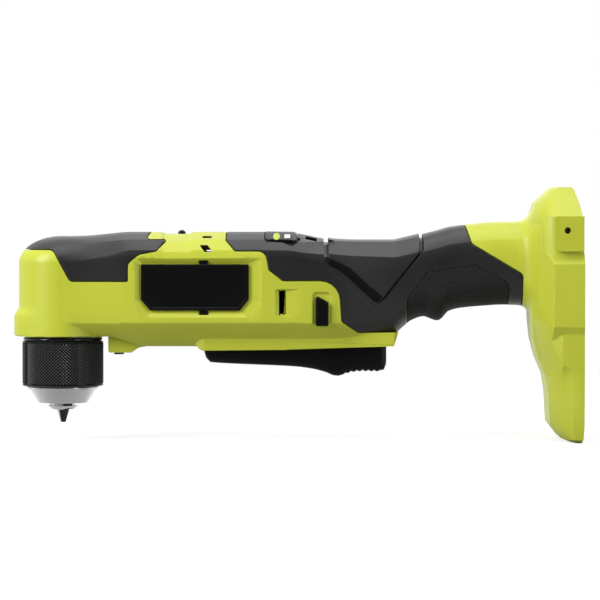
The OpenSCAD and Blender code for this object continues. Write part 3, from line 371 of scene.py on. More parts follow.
def lensFinish(name, colour, shade):
    finish, tree, shader = startFinish(name)
    texture = useGroup(tree, mouldGrain, Scale=500.0)
    shader.inputs["Coat Weight"].default_value = 0.6
    shader.inputs["IOR"].default_value = 1.49
    addColour(tree, shader, texture["Cloud"], colour, shade)
    tree.links.new(rangeNode(tree, texture["Cloud"], 0.0, 1.0, 0.06, 0.12), shader.inputs["Roughness"])
    return finish


finishes = dict(
    green=mouldedFinish("greenPlastic", (0.56, 0.61, 0.04), (0.585, 0.64, 0.046), (0.36, 0.44)),
    softGrey=mouldedFinish("softGrey", (0.0105, 0.0105, 0.0109), (0.013, 0.013, 0.0135), (0.37, 0.43),
        3400.0, 0.04, 0.2, 0.6),
    # a darker, duller copy of the soft grey for the saddle pad's down-facing flanks: painted shade
    flank=mouldedFinish("flankRubber", (0.0035, 0.0035, 0.0037), (0.0048, 0.0048, 0.005), (0.45, 0.52),
        3400.0, 0.04, 0.2, 0.15),
    # grip rubber, darker in the gaps and paler on the squares' tops: painted shade and painted highlight
    grip=gripFinish("gripRubber", (0.005, 0.005, 0.0053), (0.021, 0.021, 0.022)),
    black=mouldedFinish("blackPlastic", (0.003, 0.003, 0.0032), (0.0042, 0.0042, 0.0045), (0.27, 0.33),
        3000.0, 0.03, 0.15, 0.2),
    sleeve=mouldedFinish("sleevePlastic", (0.004, 0.004, 0.0043), (0.006, 0.006, 0.0064), (0.17, 0.23),
        2400.0, 0.02, 0.1),
    # the knurl's points are painted paler than its grooves: painted highlight and painted shade
    knurl=knurlFinish("sleeveKnurl", (0.0012, 0.0012, 0.0013), (0.1, 0.1, 0.102)),
    nose=turnedFinish("turnedNose", (0.58, 0.58, 0.59), (0.66, 0.66, 0.67), (0.16, 0.28)),
    # a darker copy of the jaws' steel, given to two of the three alike jaws: painted shade
    jaw=turnedFinish("jawSteel", (0.03, 0.03, 0.031), (0.05, 0.05, 0.052), (0.2, 0.3)),
    steel=turnedFinish("machinedSteel", (0.45, 0.46, 0.48), (0.52, 0.53, 0.55), (0.3, 0.45)),
    brightSteel=turnedFinish("groundSteel", (0.62, 0.63, 0.65), (0.7, 0.71, 0.73), (0.18, 0.32)),
    alloy=turnedFinish("castAlloy", (0.5, 0.5, 0.49), (0.6, 0.6, 0.58), (0.45, 0.6), 0.4),
    copper=turnedFinish("copper", (0.7, 0.34, 0.16), (0.8, 0.42, 0.22), (0.28, 0.42)),
    board=mouldedFinish("circuitBoard", (0.012, 0.1, 0.045), (0.02, 0.13, 0.06), (0.35, 0.5), 1200.0),
    lead=mouldedFinish("leadInsulation", (0.3, 0.012, 0.01), (0.36, 0.02, 0.016), (0.4, 0.5), 1800.0),
    markGreen=mouldedFinish("markGreen", (0.5, 0.62, 0.04), (0.56, 0.66, 0.06), (0.4, 0.5)),
    markWhite=mouldedFinish("markWhite", (0.72, 0.72, 0.72), (0.8, 0.8, 0.8), (0.4, 0.5)),
    lens=lensFinish("smokedLens", (0.02, 0.021, 0.022), (0.03, 0.031, 0.033)))
print("finishes made:", len(finishes))


# modelling helpers

def roundOutline(points, steps=5):
    # corners of (x, z, radius) become short arcs
    result = []
    for place, (x, z, radius) in enumerate(points):
        corner = Vector((x, z))
        if radius <= 0:
            result.append(corner)
            continue
        before = Vector(points[place - 1][:2]) - corner
        after = Vector(points[(place + 1) % len(points)][:2]) - corner
        before.normalize()
        after.normalize()
        half = before.angle(after) / 2
        centre = corner + (before + after).normalized() * radius / math.sin(half)
        first = corner + before * radius / math.tan(half) - centre
        last = corner + after * radius / math.tan(half) - centre
        turn = math.atan2(first.x * last.y - first.y * last.x, first.dot(last))
        for step in range(steps + 1):
            a = turn * step / steps
            c, s = math.cos(a), math.sin(a)
            result.append(centre + Vector((first.x * c - first.y * s, first.x * s + first.y * c)))
    return result


def growOutline(points, distance):
    # each corner moves out along the two edges' bisector
    area = sum(a.x * b.y - b.x * a.y for a, b in zip(points, points[1:] + points[:1]))
    side = 1 if area > 0 else -1
    result = []
    for place, corner in enumerate(points):
        before = (corner - points[place - 1]).normalized()
        after = (points[(place + 1) % len(points)] - corner).normalized()
        n1 = Vector((before.y, -before.x)) * side
        n2 = Vector((after.y, -after.x)) * side
        result.append(corner + (n1 + n2) / max(0.3, 1 + n1.dot(n2)) * distance)
    return result


def at(x, y, z):
    # millimetres from the motor axis to a place in the frame
    return (x * mm, y * mm, (z + axisZ) * mm)


def mirrorRing(x, side):
    # a cross-section at x from its right half, bottom to top
    return [at(x, y, z) for y, z in side] + [at(x, -y, z) for y, z in reversed(side)]


def openMesh(piece):
    activate(piece)
    bpy.ops.object.mode_set(mode="EDIT")
    bpy.ops.mesh.select_all(action="SELECT")


def closeMesh():
    bpy.ops.object.mode_set(mode="OBJECT")


def tidyNormals(piece):
    openMesh(piece)
    bpy.ops.mesh.remove_doubles(threshold=0.002 * mm)
    bpy.ops.mesh.delete_loose()
    bpy.ops.mesh.select_all(action="SELECT")
    bpy.ops.mesh.normals_make_consistent(inside=False)
    closeMesh()
    return piece


def startRing(name, places, fill="NOTHING"):
    # one ring of points, left in edit mode for what comes next
    clearSelection()
    bpy.ops.mesh.primitive_circle_add(vertices=len(places), fill_type=fill)
    piece = bpy.context.object
    piece.name = name
    for point, place in zip(piece.data.vertices, places):
        point.co = place
    openMesh(piece)
    return piece


def prism(name, low, y0, y1, high=None):
    # a flat outline at y0, extruded to y1, where it may take another outline
    piece = startRing(name, [at(x, y0, z) for x, z in low], "NGON")
    bpy.ops.mesh.extrude_region_move(TRANSFORM_OT_translate={"value": (0, (y1 - y0) * mm, 0)})
    if high is not None:
        mesh = bmesh.from_edit_mesh(piece.data)
        moved = {(round(x, 4), round(z, 4)): end for (x, z), end in zip(low, high)}
        for point in mesh.verts:
            if point.select:
                x, z = point.co.x / mm, point.co.z / mm
                key = min(moved, key=lambda k: abs(k[0] - x) + abs(k[1] - z + axisZ))
                point.co.x = moved[key][0] * mm
                point.co.z = (moved[key][1] + axisZ) * mm
        bmesh.update_edit_mesh(piece.data)
    closeMesh()
    return tidyNormals(piece)


def through(name, points):
    return prism(name, points, -farOut, farOut)


def planPrism(name, plan, z0, z1):
    # an outline seen from above, extruded upwards
    piece = startRing(name, [at(x, y, z0) for x, y in plan], "NGON")
    bpy.ops.mesh.extrude_region_move(TRANSFORM_OT_translate={"value": (0, 0, (z1 - z0) * mm)})
    closeMesh()
    return tidyNormals(piece)


def box(name, low, high):
    clearSelection()
    bpy.ops.mesh.primitive_cube_add(size=1)
    piece = bpy.context.object
    piece.name = name
    for point in piece.data.vertices:
        point.co = [(b if c > 0 else a) * mm for c, a, b in zip(point.co, low, high)]
        point.co.z += axisZ * mm
    return piece


def rod(name, start, end, radius, sides=48, lift=axisZ):
    # a plain cylinder between two points
    clearSelection()
    a, b = [Vector((x, y, z + lift)) * mm for x, y, z in (start, end)]
    bpy.ops.mesh.primitive_cylinder_add(vertices=sides, radius=radius * mm, depth=(b - a).length, location=(a + b) / 2,
        rotation=(b - a).to_track_quat("Z", "Y").to_euler())
    piece = bpy.context.object
    piece.name = name
    bpy.ops.object.transform_apply(location=True, rotation=True, scale=True)
    return piece


def crossRod(name, x, z, y0, y1, radius, sides):
    return rod(name, (x, y0, z), (x, y1, z), radius, sides)


def spinPiece(name, profile, steps, lift=0.0):
    # a closed profile of (radius, height), spun about the spindle
    piece = startRing(name, [(radius * mm, 0, (z + lift) * mm) for radius, z in profile])
    bpy.ops.mesh.spin(steps=steps, angle=2 * math.pi, center=(0, 0, 0), axis=(0, 0, 1))
    closeMesh()
    return tidyNormals(piece)


def loft(name, rings):
    # the first ring is capped, extruded from ring to ring and capped again
    piece = startRing(name, rings[0])
    bpy.ops.mesh.edge_face_add()
    mesh = bmesh.from_edit_mesh(piece.data)
    line = list(mesh.verts)
    for ring in rings[1:]:
        old = {tuple(round(c, 9) for c in point.co): place for place, point in enumerate(line)}
        bpy.ops.mesh.select_all(action="DESELECT")
        for a, b in zip(line, line[1:] + line[:1]):
            next(e for e in a.link_edges if e.other_vert(a) is b).select_set(True)
        bpy.ops.mesh.extrude_edges_move()
        mesh = bmesh.from_edit_mesh(piece.data)
        fresh = [point for point in mesh.verts if point.select]
        line = sorted(fresh, key=lambda point: old[tuple(round(c, 9) for c in point.co)])
        for point, place in zip(line, ring):
            point.co = place
    bpy.ops.mesh.edge_face_add()
    bpy.ops.mesh.select_all(action="SELECT")
    bpy.ops.mesh.normals_make_consistent(inside=False)
    closeMesh()
    return piece


def copyPiece(piece, name):
    activate(piece)
    bpy.ops.object.duplicate()
    copy = bpy.context.object
    copy.name = name
    return copy


def mirrorPiece(piece, name):
    # the same piece on the other side of the parting plane
    copy = copyPiece(piece, name)
    openMesh(copy)
    bpy.ops.transform.resize(value=(1, -1, 1), center_override=(0, 0, 0))
    bpy.ops.mesh.normals_make_consistent(inside=False)
    closeMesh()
    return copy


def combine(piece, operation, others):
    # each of the others is used up
    for other in others:
        activate(piece)
        step = piece.modifiers.new("combine", "BOOLEAN")
        step.operation = operation
        step.solver = "MANIFOLD"
        step.object = other
        bpy.ops.object.modifier_apply(modifier=step.name)
        bpy.data.meshes.remove(other.data)
    return piece


def join(piece, *others):
    return combine(piece, "UNION", others)


def cut(piece, *others):
    return combine(piece, "DIFFERENCE", others)


def keepWithin(piece, *others):
    return combine(piece, "INTERSECT", others)


def skinOf(piece):
    mesh = bmesh.new()
    mesh.from_mesh(piece.data)
    skin = bvhtree.BVHTree.FromBMesh(mesh)
    mesh.free()
    return skin


def softenEdges(piece, width, segments=2, angle=30, crowd=1.2, skin=None, zone=(-999, 999), spare=()):
    # sharp edges between two faces of the skin are rounded; short edges that run into them collapse first, to give room
    openMesh(piece)
    bpy.ops.mesh.dissolve_degenerate(threshold=0.005 * mm)
    mesh = bmesh.from_edit_mesh(piece.data)

    def outer(face):
        return skin is None or skin.find_nearest(face.calc_center_median())[3] < 0.01 * mm

    def spared(edge):
        middle = (edge.verts[0].co + edge.verts[1].co) / 2 / mm
        return any(x0 < middle.x < x1 and z0 < middle.z - axisZ < z1 for x0, x1, z0, z1 in spare)

    def sharpEdges():
        found = [edge for edge in mesh.edges if len(edge.link_faces) == 2]
        return [edge for edge in found if edge.calc_face_angle(0) > math.radians(angle)
            and zone[0] * mm < (edge.verts[0].co.x + edge.verts[1].co.x) / 2 < zone[1] * mm]

    sharp = set(point for edge in sharpEdges() for point in edge.verts)
    merged = {}
    for edge in mesh.edges:
        if edge.calc_length() < width * crowd * mm:
            for point, end in (edge.verts, reversed(edge.verts)):
                if point not in sharp and end in sharp and all(outer(face) for face in point.link_faces):
                    merged[point] = end
    bmesh.ops.weld_verts(mesh, targetmap=merged)
    weights = mesh.edges.layers.float
    weight = weights.get("bevel_weight_edge") or weights.new("bevel_weight_edge")
    chosen = set(edge for edge in sharpEdges() if all(outer(face) for face in edge.link_faces) and not spared(edge))
    for edge in mesh.edges:
        edge[weight] = 1.0 if edge in chosen else 0.0
    bmesh.update_edit_mesh(piece.data)
    closeMesh()
    before = skinOf(piece)
    step = piece.modifiers.new("softEdge", "BEVEL")
    step.width = width * mm
    step.segments = segments
    step.limit_method = "WEIGHT"
    step.use_clamp_overlap = False
    step.loop_slide = False
    step.miter_outer = "MITER_ARC"
    bpy.ops.object.modifier_apply(modifier=step.name)
    for point in piece.data.vertices:
        place, normal, face, away = before.find_nearest(point.co)
        if away > width * 0.8 * mm:    # a corner that shot out goes back to the surface
            point.co = place
    return piece


def sliceAway(piece, point, normal):
    # keeps what lies behind the plane and closes the cut
    openMesh(piece)
    bpy.ops.mesh.bisect(plane_co=point, plane_no=normal, use_fill=True, clear_outer=True)
    closeMesh()


def dress(piece, finish, body, slotName, *nodes, angle=38):
    activate(piece)
    bpy.ops.object.shade_smooth_by_angle(angle=math.radians(angle))
    step = piece.modifiers.new("evenNormals", "WEIGHTED_NORMAL")
    step.keep_sharp = True
    bpy.ops.object.modifier_apply(modifier=step.name)
    piece.data.materials.clear()
    piece.data.materials.append(finishes[finish])
    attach(piece, body)
    if nodes:
        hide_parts(*nodes)
    print("piece", piece.name, "faces", len(piece.data.polygons))
    return piece


# body stations: x, half width, top, bottom, then width, height and power of the top and the low corner

noseLow = (7.5, 7.5, 1.12)
bodyCorners = (16, 13, 1.8, 12.5, 12.5, 1.12)
handleCorners = (15, 17, 2, 14, 14, 2)
flareCorners = (16, 18, 2, 15.6, 17, 2)
bodyShape = dict(
    stations=[
        (-6, 21.2, 25.5, -24.9, 17.4, 14, 1.8, *noseLow), (0, 22.38, 26.25, -24.9, 17.2, 13.7, 1.8, *noseLow),
        (6, 22.56, 26.4, -24.9, 16.8, 13.5, 1.8, *noseLow), (12, 22.85, 26.6, -24.9, 16.4, 13.3, 1.8, *noseLow),
        (24, 24.05, 27.6, -24.9, 16, 13, 1.8, *noseLow), (34, 25.4, 28.5, -27.2, 16, 13, 1.8, 9.7, 9.7, 1.12),
        (43, 26, 28.5, -30, *bodyCorners), (51.5, 26, 28.5, -30, *bodyCorners), (53, 26, 27.5, -30, *bodyCorners),
        (66, 26, 27.5, -30, *bodyCorners), (67.5, 26, 28.5, -30, *bodyCorners), (100, 26, 28.5, -30, *bodyCorners),
        (116, 26, 28.3, -30, *bodyCorners),
        (124, 25.85, 27.2, -30, 16, 13.1, 1.8, 12.5, 12.5, 1.14),
        (134, 25.55, 25.2, -30, 15.9, 13.3, 1.82, 12.6, 12.6, 1.19),
        (143, 24.7, 24.3, -30, 15.8, 13.8, 1.84, 12.8, 12.8, 1.3),
        (152, 23, 24, -29.6, 15.6, 14.6, 1.88, 13.1, 13.1, 1.47),
        (162, 21, 24, -27.9, 15.35, 15.6, 1.93, 13.5, 13.5, 1.69),
        (170, 19.7, 24, -25, 15.15, 16.4, 1.97, 13.8, 13.8, 1.87),
        (175, 19.2, 25, -20.55, 15.05, 16.8, 1.99, 13.9, 13.9, 1.96),
        (180, 18.8, 26.2, -16.8, *handleCorners), (186, 18.5, 27.6, -15, *handleCorners),
        (190, 18.5, 28.6, -16.4, *handleCorners), (193, 18.5, 29.4, -17.2, *handleCorners),
        (195.5, 18.5, 30.1, -15.8, *handleCorners), (198.5, 18.5, 31, -12.4, *handleCorners),
        (204.6, 18.5, 31.9, -10.7, *handleCorners), (216, 18.5, 33.2, -9.6, *handleCorners),
        (226, 18.5, 33.7, -9, *handleCorners), (233, 18.65, 33.8, -9.05, *handleCorners),
        (236, 19.05, 34.2, -9.4, *handleCorners),
        (238.4, 20.0, 35.3, -10.6, 15, 17, 2, 14, 14.4, 2),
        (240.2, 21.6, 37.1, -12.7, 15.2, 17.2, 2, 14.4, 15, 2),
        (241.8, 23.9, 39.4, -16.0, 15.6, 17.6, 2, 15, 16, 2),
        (243.2, 26.3, 41.2, -19.3, *flareCorners), (244.6, 28.3, 42.0, -21.3, *flareCorners),
        (246, 29.4, 42.2, -22.0, *flareCorners), (247.6, 29.9, 42.3, -22.2, *flareCorners)],
    creases=[(-10, 5, 46, 0), (4, 5, 46, 0), (12, 5, 46, 0.4), (25, 10, 46, 0.9), (36, 19.5, 46, 1), (124, 19.5, 46, 1),
        (137, 28, 69, 1), (172, 28, 69, 1), (190, 28, 60, 0), (270, 28, 60, 0)],
    spacing=3.0, fine=[(170, 201, 1.4), (232, 250, 0.7)], cornerSteps=9, flankSteps=3)


def smoothStations(rows, spacing, fine=()):
    # monotone curves through the stations, so that nothing overshoots them
    xs = [row[0] for row in rows]
    columns = list(zip(*rows))[1:]
    slopes = []
    for column in columns:
        rise = [(b - a) / (x1 - x0) for a, b, x0, x1 in zip(column, column[1:], xs, xs[1:])]
        inner = [0 if p * q <= 0 else 2 * p * q / (p + q) for p, q in zip(rise, rise[1:])]
        slopes.append([rise[0], *inner, rise[-1]])
    result = []
    for place in range(len(xs) - 1):
        gap = xs[place + 1] - xs[place]
        apart = next((size for low, high, size in fine if low <= xs[place] < high), spacing)
        count = max(1, round(gap / apart))
        for step in range(count):
            t = step / count
            row = [xs[place] + gap * t]
            for column, slope in zip(columns, slopes):
                a, b = column[place], column[place + 1]
                row.append(a * (1 + 2 * t) * (1 - t) ** 2 + b * t * t * (3 - 2 * t)
                    + gap * (slope[place] * t * (1 - t) ** 2 - slope[place + 1] * t * t * (1 - t)))
            result.append(row)
    return result + [list(rows[-1])]


def creaseAt(x):
    rows = bodyShape["creases"]
    low, high = next((pair for pair in zip(rows, rows[1:]) if x <= pair[1][0]), rows[-2:])
    part = min(1, max(0, (x - low[0]) / (high[0] - low[0])))
    return [a + (b - a) * part for a, b in zip(low, high)][1:]


def topCorner(width, height, power, first, second, sharp, soft=1.2):
    # from the flank to the top: a rounded corner that turns into three flats with narrow rounded creases
    def onCurve(t):
        t = math.radians(t)
        return Vector((width * abs(math.cos(t)) ** (2 / power), height * abs(math.sin(t)) ** (2 / power)))
    knots = [0, first, second, 90]
    spots = [0, first / 2, first - soft, first + soft, (2 * first + second) / 3, (first + 2 * second) / 3,
        second - soft, second + soft, (2 * second + 90) / 3, (second + 180) / 3, 90]
    result = []
    for t in spots:
        k = max(place for place in range(3) if knots[place] <= t)
        flat = onCurve(knots[k]).lerp(onCurve(knots[k + 1]), (t - knots[k]) / (knots[k + 1] - knots[k]))
        result.append(onCurve(t).lerp(flat, sharp))
    return result


def sectionRing(row, inset, steps):
    x, half, top, low, topW, topH, topP, lowW, lowH, lowP = row
    half, top, low = half - inset, top - inset, low + inset
    topW, topH, lowW, lowH = topW - inset / 2, topH - inset / 2, lowW - inset / 2, lowH - inset / 2
    side = []
    for step in range(steps, -1, -1):
        t = math.pi / 2 * step / steps
        side.append((half - lowW + lowW * abs(math.cos(t)) ** (2 / lowP), low + lowH * (1 - math.sin(t) ** (2 / lowP))))
    foot, head = side[-1][1], top - topH
    count = bodyShape["flankSteps"]
    side += [(half, foot + (head - foot) * step / (count + 1)) for step in range(1, count + 1)]
    for a, b in topCorner(topW, topH, topP, *creaseAt(x)):
        side.append((half - topW + a, top - topH + b))
    return mirrorRing(x, side)


bodyRows = smoothStations(bodyShape["stations"], bodyShape["spacing"], bodyShape["fine"])


def bodyLoft(name, inset=0.0, start=-99, end=999):
    rows = [row for row in bodyRows if start <= row[0] <= end]
    return loft(name, [sectionRing(row, inset, bodyShape["cornerSteps"]) for row in rows])


headShape = dict(radius=22.5, flangeR=25.0, flangeTop=-15.0, neckTop=-9.5, mouth=-25.0, lip=0.7, top=26.5, domeFrom=12.5,
    neckSteps=5, domeSteps=12, steps=112, fade=(20, 62))


def headSpin(name, inset=0.0):
    h = headShape
    edge, wide = h["radius"] - inset, h["flangeR"] - inset
    profile = [(0, h["mouth"] + inset), (wide - h["lip"], h["mouth"] + inset), (wide, h["mouth"] + h["lip"] + inset),
        (wide, h["flangeTop"])]
    for step in range(1, h["neckSteps"] + 1):
        t = step / h["neckSteps"]
        height = h["flangeTop"] + (h["neckTop"] - h["flangeTop"]) * t
        profile.append((wide + (edge - wide) * t * t * (3 - 2 * t), height))
    rise, count = h["top"] - h["domeFrom"] - inset, h["domeSteps"]
    for step in range(count + 1):
        a = math.pi / 2 * step / count
        profile.append((edge * abs(math.cos(a)) if step < count else 0, h["domeFrom"] + rise * math.sin(a)))
    piece = spinPiece(name, profile, h["steps"], axisZ)
    for point in piece.data.vertices:    # the flange is there only in front and fades out on the flanks
        out = math.hypot(point.co.x, point.co.y) / mm - edge
        if out > 0.001:
            off = math.degrees(abs(math.atan2(point.co.y, -point.co.x)))
            part = min(1, max(0, (off - h["fade"][0]) / (h["fade"][1] - h["fade"][0])))
            scale = (edge + 0.02 + out * (1 - part * part * (3 - 2 * part))) / (edge + out)
            point.co.x *= scale
            point.co.y *= scale
    return piece


outlines = dict(
    bumper=[(-40, 19.3, 0), (-3.6, 19.3, 4), (5.2, 3.1, 3), (35, 3.1, 0.6), (35, 12.4, 3), (40.6, 16.9, 3),
        (49.2, 18.5, 1.2), (54.6, 24.1, 0.8),
        (53, 24.9, 0.5), (45.6, 24.9, 0.6), (44.4, 25.7, 0.4), (46.4, 28.6, 0.5), (46.4, farOut, 0), (-40, farOut, 0)],
    overmould=[(85, farOut, 0), (84.5, 24.2, 0.8), (89.3, 18.6, 1.5), (104.8, 18.6, 4.5), (106.4, 9.2, 1.5),
        (113.6, 3.5, 2),
        (142.2, 3.5, 10), (143.3, -17, 2), (152, -23, 3), (173, -22.8, 0), (173, -farOut, 0), (236.4, -farOut, 0),
        (236.4, 7, 3),
        (210.3, 22.6, 3), (206.6, 34, 0), (206.6, farOut, 0)],
    grip=[(177.5, -farOut, 0), (177.2, -5.5, 2), (187, 8.2, 3), (212, 12, 3), (229.2, 2.5, 3), (229.2, -farOut, 0)],
    padFace=[(136.9, farOut, 0), (136.9, 12.6, 1.5), (161.4, -8.8, 3.5), (183.6, 18.4, 2), (183.6, farOut, 0)],
    padRecess=[(134.5, farOut, 0), (134.5, 12.4, 2), (161.2, -10.6, 4), (185.4, 19, 2), (185.4, farOut, 0)],
    slot=[(125.2, 26.4, 0.4), (131.0, 25.2, 0.4), (131.0, 23.6, 0.4), (125.2, 24.8, 0.4)],
    panelScoop=[(104.8, 25.4, 0), (104.8, 23.7, 0.8), (113.5, 23.3, 3), (118.3, 21.2, 1), (122.4, 24.2, 0.6),
        (122.4, 25.4, 0)],
    plate=[(41.5, 12.2, 0.4), (96.4, 12.2, 0.4), (96.4, -5.7, 0.6), (91.8, -11.4, 0.6), (46.2, -11.4, 0.6),
        (41.5, -5.9, 0.6)],
    plateFloor=[(41.2, 12.5, 0.8), (96.7, 12.5, 0.8), (96.7, -5.8, 1.2), (92, -11.7, 1.2), (46, -11.7, 1.2),
        (41.2, -6, 1.2)],
    plateMouth=[(38.1, 15.3, 1.8), (103.2, 15.3, 1.8), (103.2, -6.6, 2.4), (96.2, -14.9, 2.4), (44.8, -14.9, 2.4),
        (38.1, -7, 2.4)],
    vent=[(71.2, 21.9, 0.4), (75.3, 21.9, 0.4), (78.1, 18.3, 0.4), (74, 18.3, 0.4)],
    sideVent=[(111.7, -1.4, 0.6), (114.8, -1.4, 0.6), (114.8, -13.2, 0.6), (111.7, -13.2, 0.6)],
    skirt=[(66, -24, 1), (70.5, -31, 2.5), (73, -32.1, 1), (116, -31.7, 0), (170.4, -29.8, 0.8), (172.5, -23.6, 0.8),
        (172.5, -20, 0), (66, -20, 0)],
    lightBoss=[(24, -20, 0), (24, -33.4, 1.2), (36, -33.4, 1), (39.4, -31, 3), (44, -29.8, 0), (44, -20, 0)],
    triggerRoom=[(71.8, -farOut, 0), (71.8, -22.9, 0), (89, -22.9, 0), (168.2, -17.8, 0), (168.2, -farOut, 0)],
    selector=[(130.6, -19, 0.8), (136.6, -19, 0.8), (136.6, -7.4, 0.8), (130.6, -4, 0.8)],
    selectorDish=[(128.6, -21.3, 2.5), (138.9, -21.3, 2.5), (138.9, -1.7, 2.5), (128.6, -1.7, 2.5)])


def outline(name, grow=0.0):
    points = roundOutline(outlines[name])
    return growOutline(points, grow) if grow else points


print("stations and outlines ready:", len(bodyRows), "rings")


# housing: head, body, skirt, light boss and foot in one moulding, then split in two halves

# foot rows from the bottom up: height, then x and half width of the front, the facet line, the flank's start and
# the rear edge
# steps on its flanks: half width, lowest and highest z, then planes of three points that bound them
footShape = dict(
    rows=[
        (-78.5, (259.5, 12), (260.4, 22), (262.6, 30.6), (265.4, 31)),
        (-76.8, (255.7, 15), (257.8, 25.5), (261.4, 33), (266.0, 33)),
        (-69.8, (250.2, 17), (255.7, 28.8), (260.7, 33.95), (266.4, 33.95)),
        (-53.8, (249.3, 17), (255.2, 29.6), (260.6, 33.95), (266.5, 33.95)),
        (-45.0, (248.0, 17.5), (254.9, 30.4), (260.5, 33.95), (266.5, 33.95)),
        (-36.0, (244.2, 18.2), (252.5, 30.4), (260.4, 33.95), (266.5, 33.95)),
        (-26.75, (241.8, 19), (250.0, 30.4), (260.2, 33.95), (266.5, 33.95)),
        (-19.5, (241.0, 20), (248.1, 30.4), (260.0, 33.9), (266.5, 33.9)),
        (-13.0, (240.6, 20), (246.6, 30.3), (258.0, 33.7), (266.4, 33.7)),
        (8.0, (240.5, 20), (246.3, 30.2), (251.2, 33.4), (266.3, 33.4)),
        (36.4, (240.9, 18), (246.0, 29.4), (251.2, 33.4), (265.4, 33.4)),
        (43.5, (243.2, 13), (246.6, 21.6), (251.6, 26.8), (264.0, 26.8)),
        (49.8, (249.6, 8), (250.6, 14), (252.8, 19), (262.2, 19)),
        (51.4, (251.6, 6), (252.6, 12), (254.4, 16.8), (261.0, 17))],
    steps=[
        (34.0, -46, -12, [
            ((254.9, 30.4, -45), (250.0, 30.4, -26.75), (248.0, 17.5, -45)),
            ((255.5, 34, -23.2), (255.7, 34, -39), (250.0, 30.4, -26.75)),
            ((255.6, 34, -39), (260.5, 34, -40.1), (254.9, 30.4, -45))]),
        (35.6, -28, 18, [
            ((254.9, 30.4, -45), (250.0, 30.4, -26.75), (248.0, 17.5, -45)),
            ((246.4, 30.3, 0), (246.4, 30.3, 10), (250.8, 35.6, 0)),
            ((251.1, 35.6, -19.6), (255.5, 34, -23.2), (250.0, 30.4, -26.75)),
            ((255.5, 35.6, -19.6), (255.5, 34, -23.2), (266, 34, -23.2)),
            ((255.5, 35.6, 12.2), (255.5, 33.4, 15.2), (266, 33.4, 15.2))])],
    stepFrom=(238, 26), stepEnd=266.4, stepInside=(262, 30),
    lug=((253.0, 26.0, 18.8), (265.9, 36.0, 36.5)),
    lanyard=(257.5, 29.3, 1.6))
skirtShape = dict(plan=[(66, 11.5), (68, 15.2), (71, 17.8), (73.5, 18.5), (170.5, 18.5), (172.4, 16.4), (173.4, 13.5)],
    halfW=20, height=(-45, -5))
screwShape = dict(post=3.8, core=(-10.5, 1, 1.48), shank=(-1, 9, 1.6), well=(8, farOut, 3.3),
    spots=[(55, -25.4), (83, 24.3), (122, -8), (169, 0), (199.5, 22.5), (199.5, -3), (254.5, 41), (256.5, -32),
        (258.5, -64)])
screwSpots = screwShape["spots"]
seam = 0.35    # open groove round the soft pieces
softRoomDepth = 2.0
softDepth = 1.98    # soft pieces, just clear of their room's floor
bossHalf = 10.5
triggerHalf = 13.85
selectorGap = 0.35
partingGap = 0.02
# what is cut into each flank, given for the right: depths across, boxes and a plan
flankShape = dict(pocket=(24, 26.03), notch=((71, 24, -13.6), (75.8, 27, 14.1)), vent=(6, farOut),
    topVent=((72.7, 8, 25.4), (77.3, 30, 26.4)), dish=(24.7, 26.1), dishGrow=(-1.2, 0.4),
    scoop=[(109.6, 26.1), (111.6, 24.7), (114.2, 24.7), (122.5, 26.1)], scoopHeight=(-13.9, -0.7),
    sideVent=(12, 40), selectorRoom=(18, 40))
# rooms inside: boxes by two corners, rods by two ends, radius and sides
roomShape = dict(
    case=[(0, -23.65), (19.15, -23.65), (19.15, 12.15), (12.15, 19.15), (0, 19.15)], caseSteps=64,
    drive=[
        ("mouthRoom", (0, 0, -26), (0, 0, -21), 10.76, 48), ("tubeRoom", (0, 0, 0), (28, 0, 0), 14.35, 64),
        ("motorRoom", (26.85, 0, 0), (112.35, 0, 0), 20.15, 64), ("bossRoom", (110, -14, -14), (118, 14, 17))],
    rear=(4.5, 113, 206), ribs=[(117, 128, -4), (141, 144, 13), (155, 158, 13), (178, 181, 13)],
    trigger=[
        ("pinRoom", (79, -17.5, -28), (79, 17.5, -28), 1.52, 32),
        ("springRoom", (124, 0, -27.5), (124, 0, -14), 4.6, 48)],
    selectorHalf=19,
    other=[
        ("switchRoom", (138.85, -9.65, -16.65), (160.15, 9.65, -0.85)),
        ("plungerRoom", (149, 0, -27.5), (149, 0, -15.5), 4, 48),
        ("boardRoom", (142.85, -12.65, 10.85), (184.15, 12.65, 18)),
        ("modeRoom", (104, -7.9, 22.8), (121, 7.9, farOut)),
        ("blockRoom", (206.85, -13.15, -1.65), (219, 13.15, 23.65)),
        ("socketRoom", (218, -13, -1.5), (270, 13, 23.5)),
        ("leadRoom", (183, -5, 14.8), (208, -5, 14.8), 1.6, 24), ("leadRoom", (183, 5, 14.8), (208, 5, 14.8), 1.6, 24),
        ("padRoom", (265, -28, -64.5), (270, 28, 25.5)),
        ("lensRoom", (29, 0, -35.4), (29, 0, -29.4), 2.7, 48), ("lightRoom", (29, 0, -31), (29, 0, -28), 4.1, 48),
        ("studHole", (61.5, 0, 20.5), (61.5, 0, 40.5), 1.25, 32)])
# the foot's and the body's edges: width, x zone and boxes of x and z that stay sharp
edgeShape = dict(foot=0.35, footFrom=246.2, body=0.4, bodyTo=243, spare=[(-4, 24, -24.5, -10), (36.6, 42, 10.5, 16.4)])


def makeFlankStep(half, low, high, planes):
    # a block on the flank, trimmed by planes so that what is left lies on the side of its rear middle
    step = box("flankStep", (*footShape["stepFrom"], low), (footShape["stepEnd"], half, high))
    inside = Vector((*footShape["stepInside"], (max(low, -20) + min(high, 0)) / 2 + axisZ)) * mm
    for plane in planes:
        a, b, c = [Vector((x, y, z + axisZ)) * mm for x, y, z in plane]
        normal = (b - a).cross(c - a).normalized()
        sliceAway(step, a, -normal if (inside - a).dot(normal) > 0 else normal)
    return tidyNormals(step)


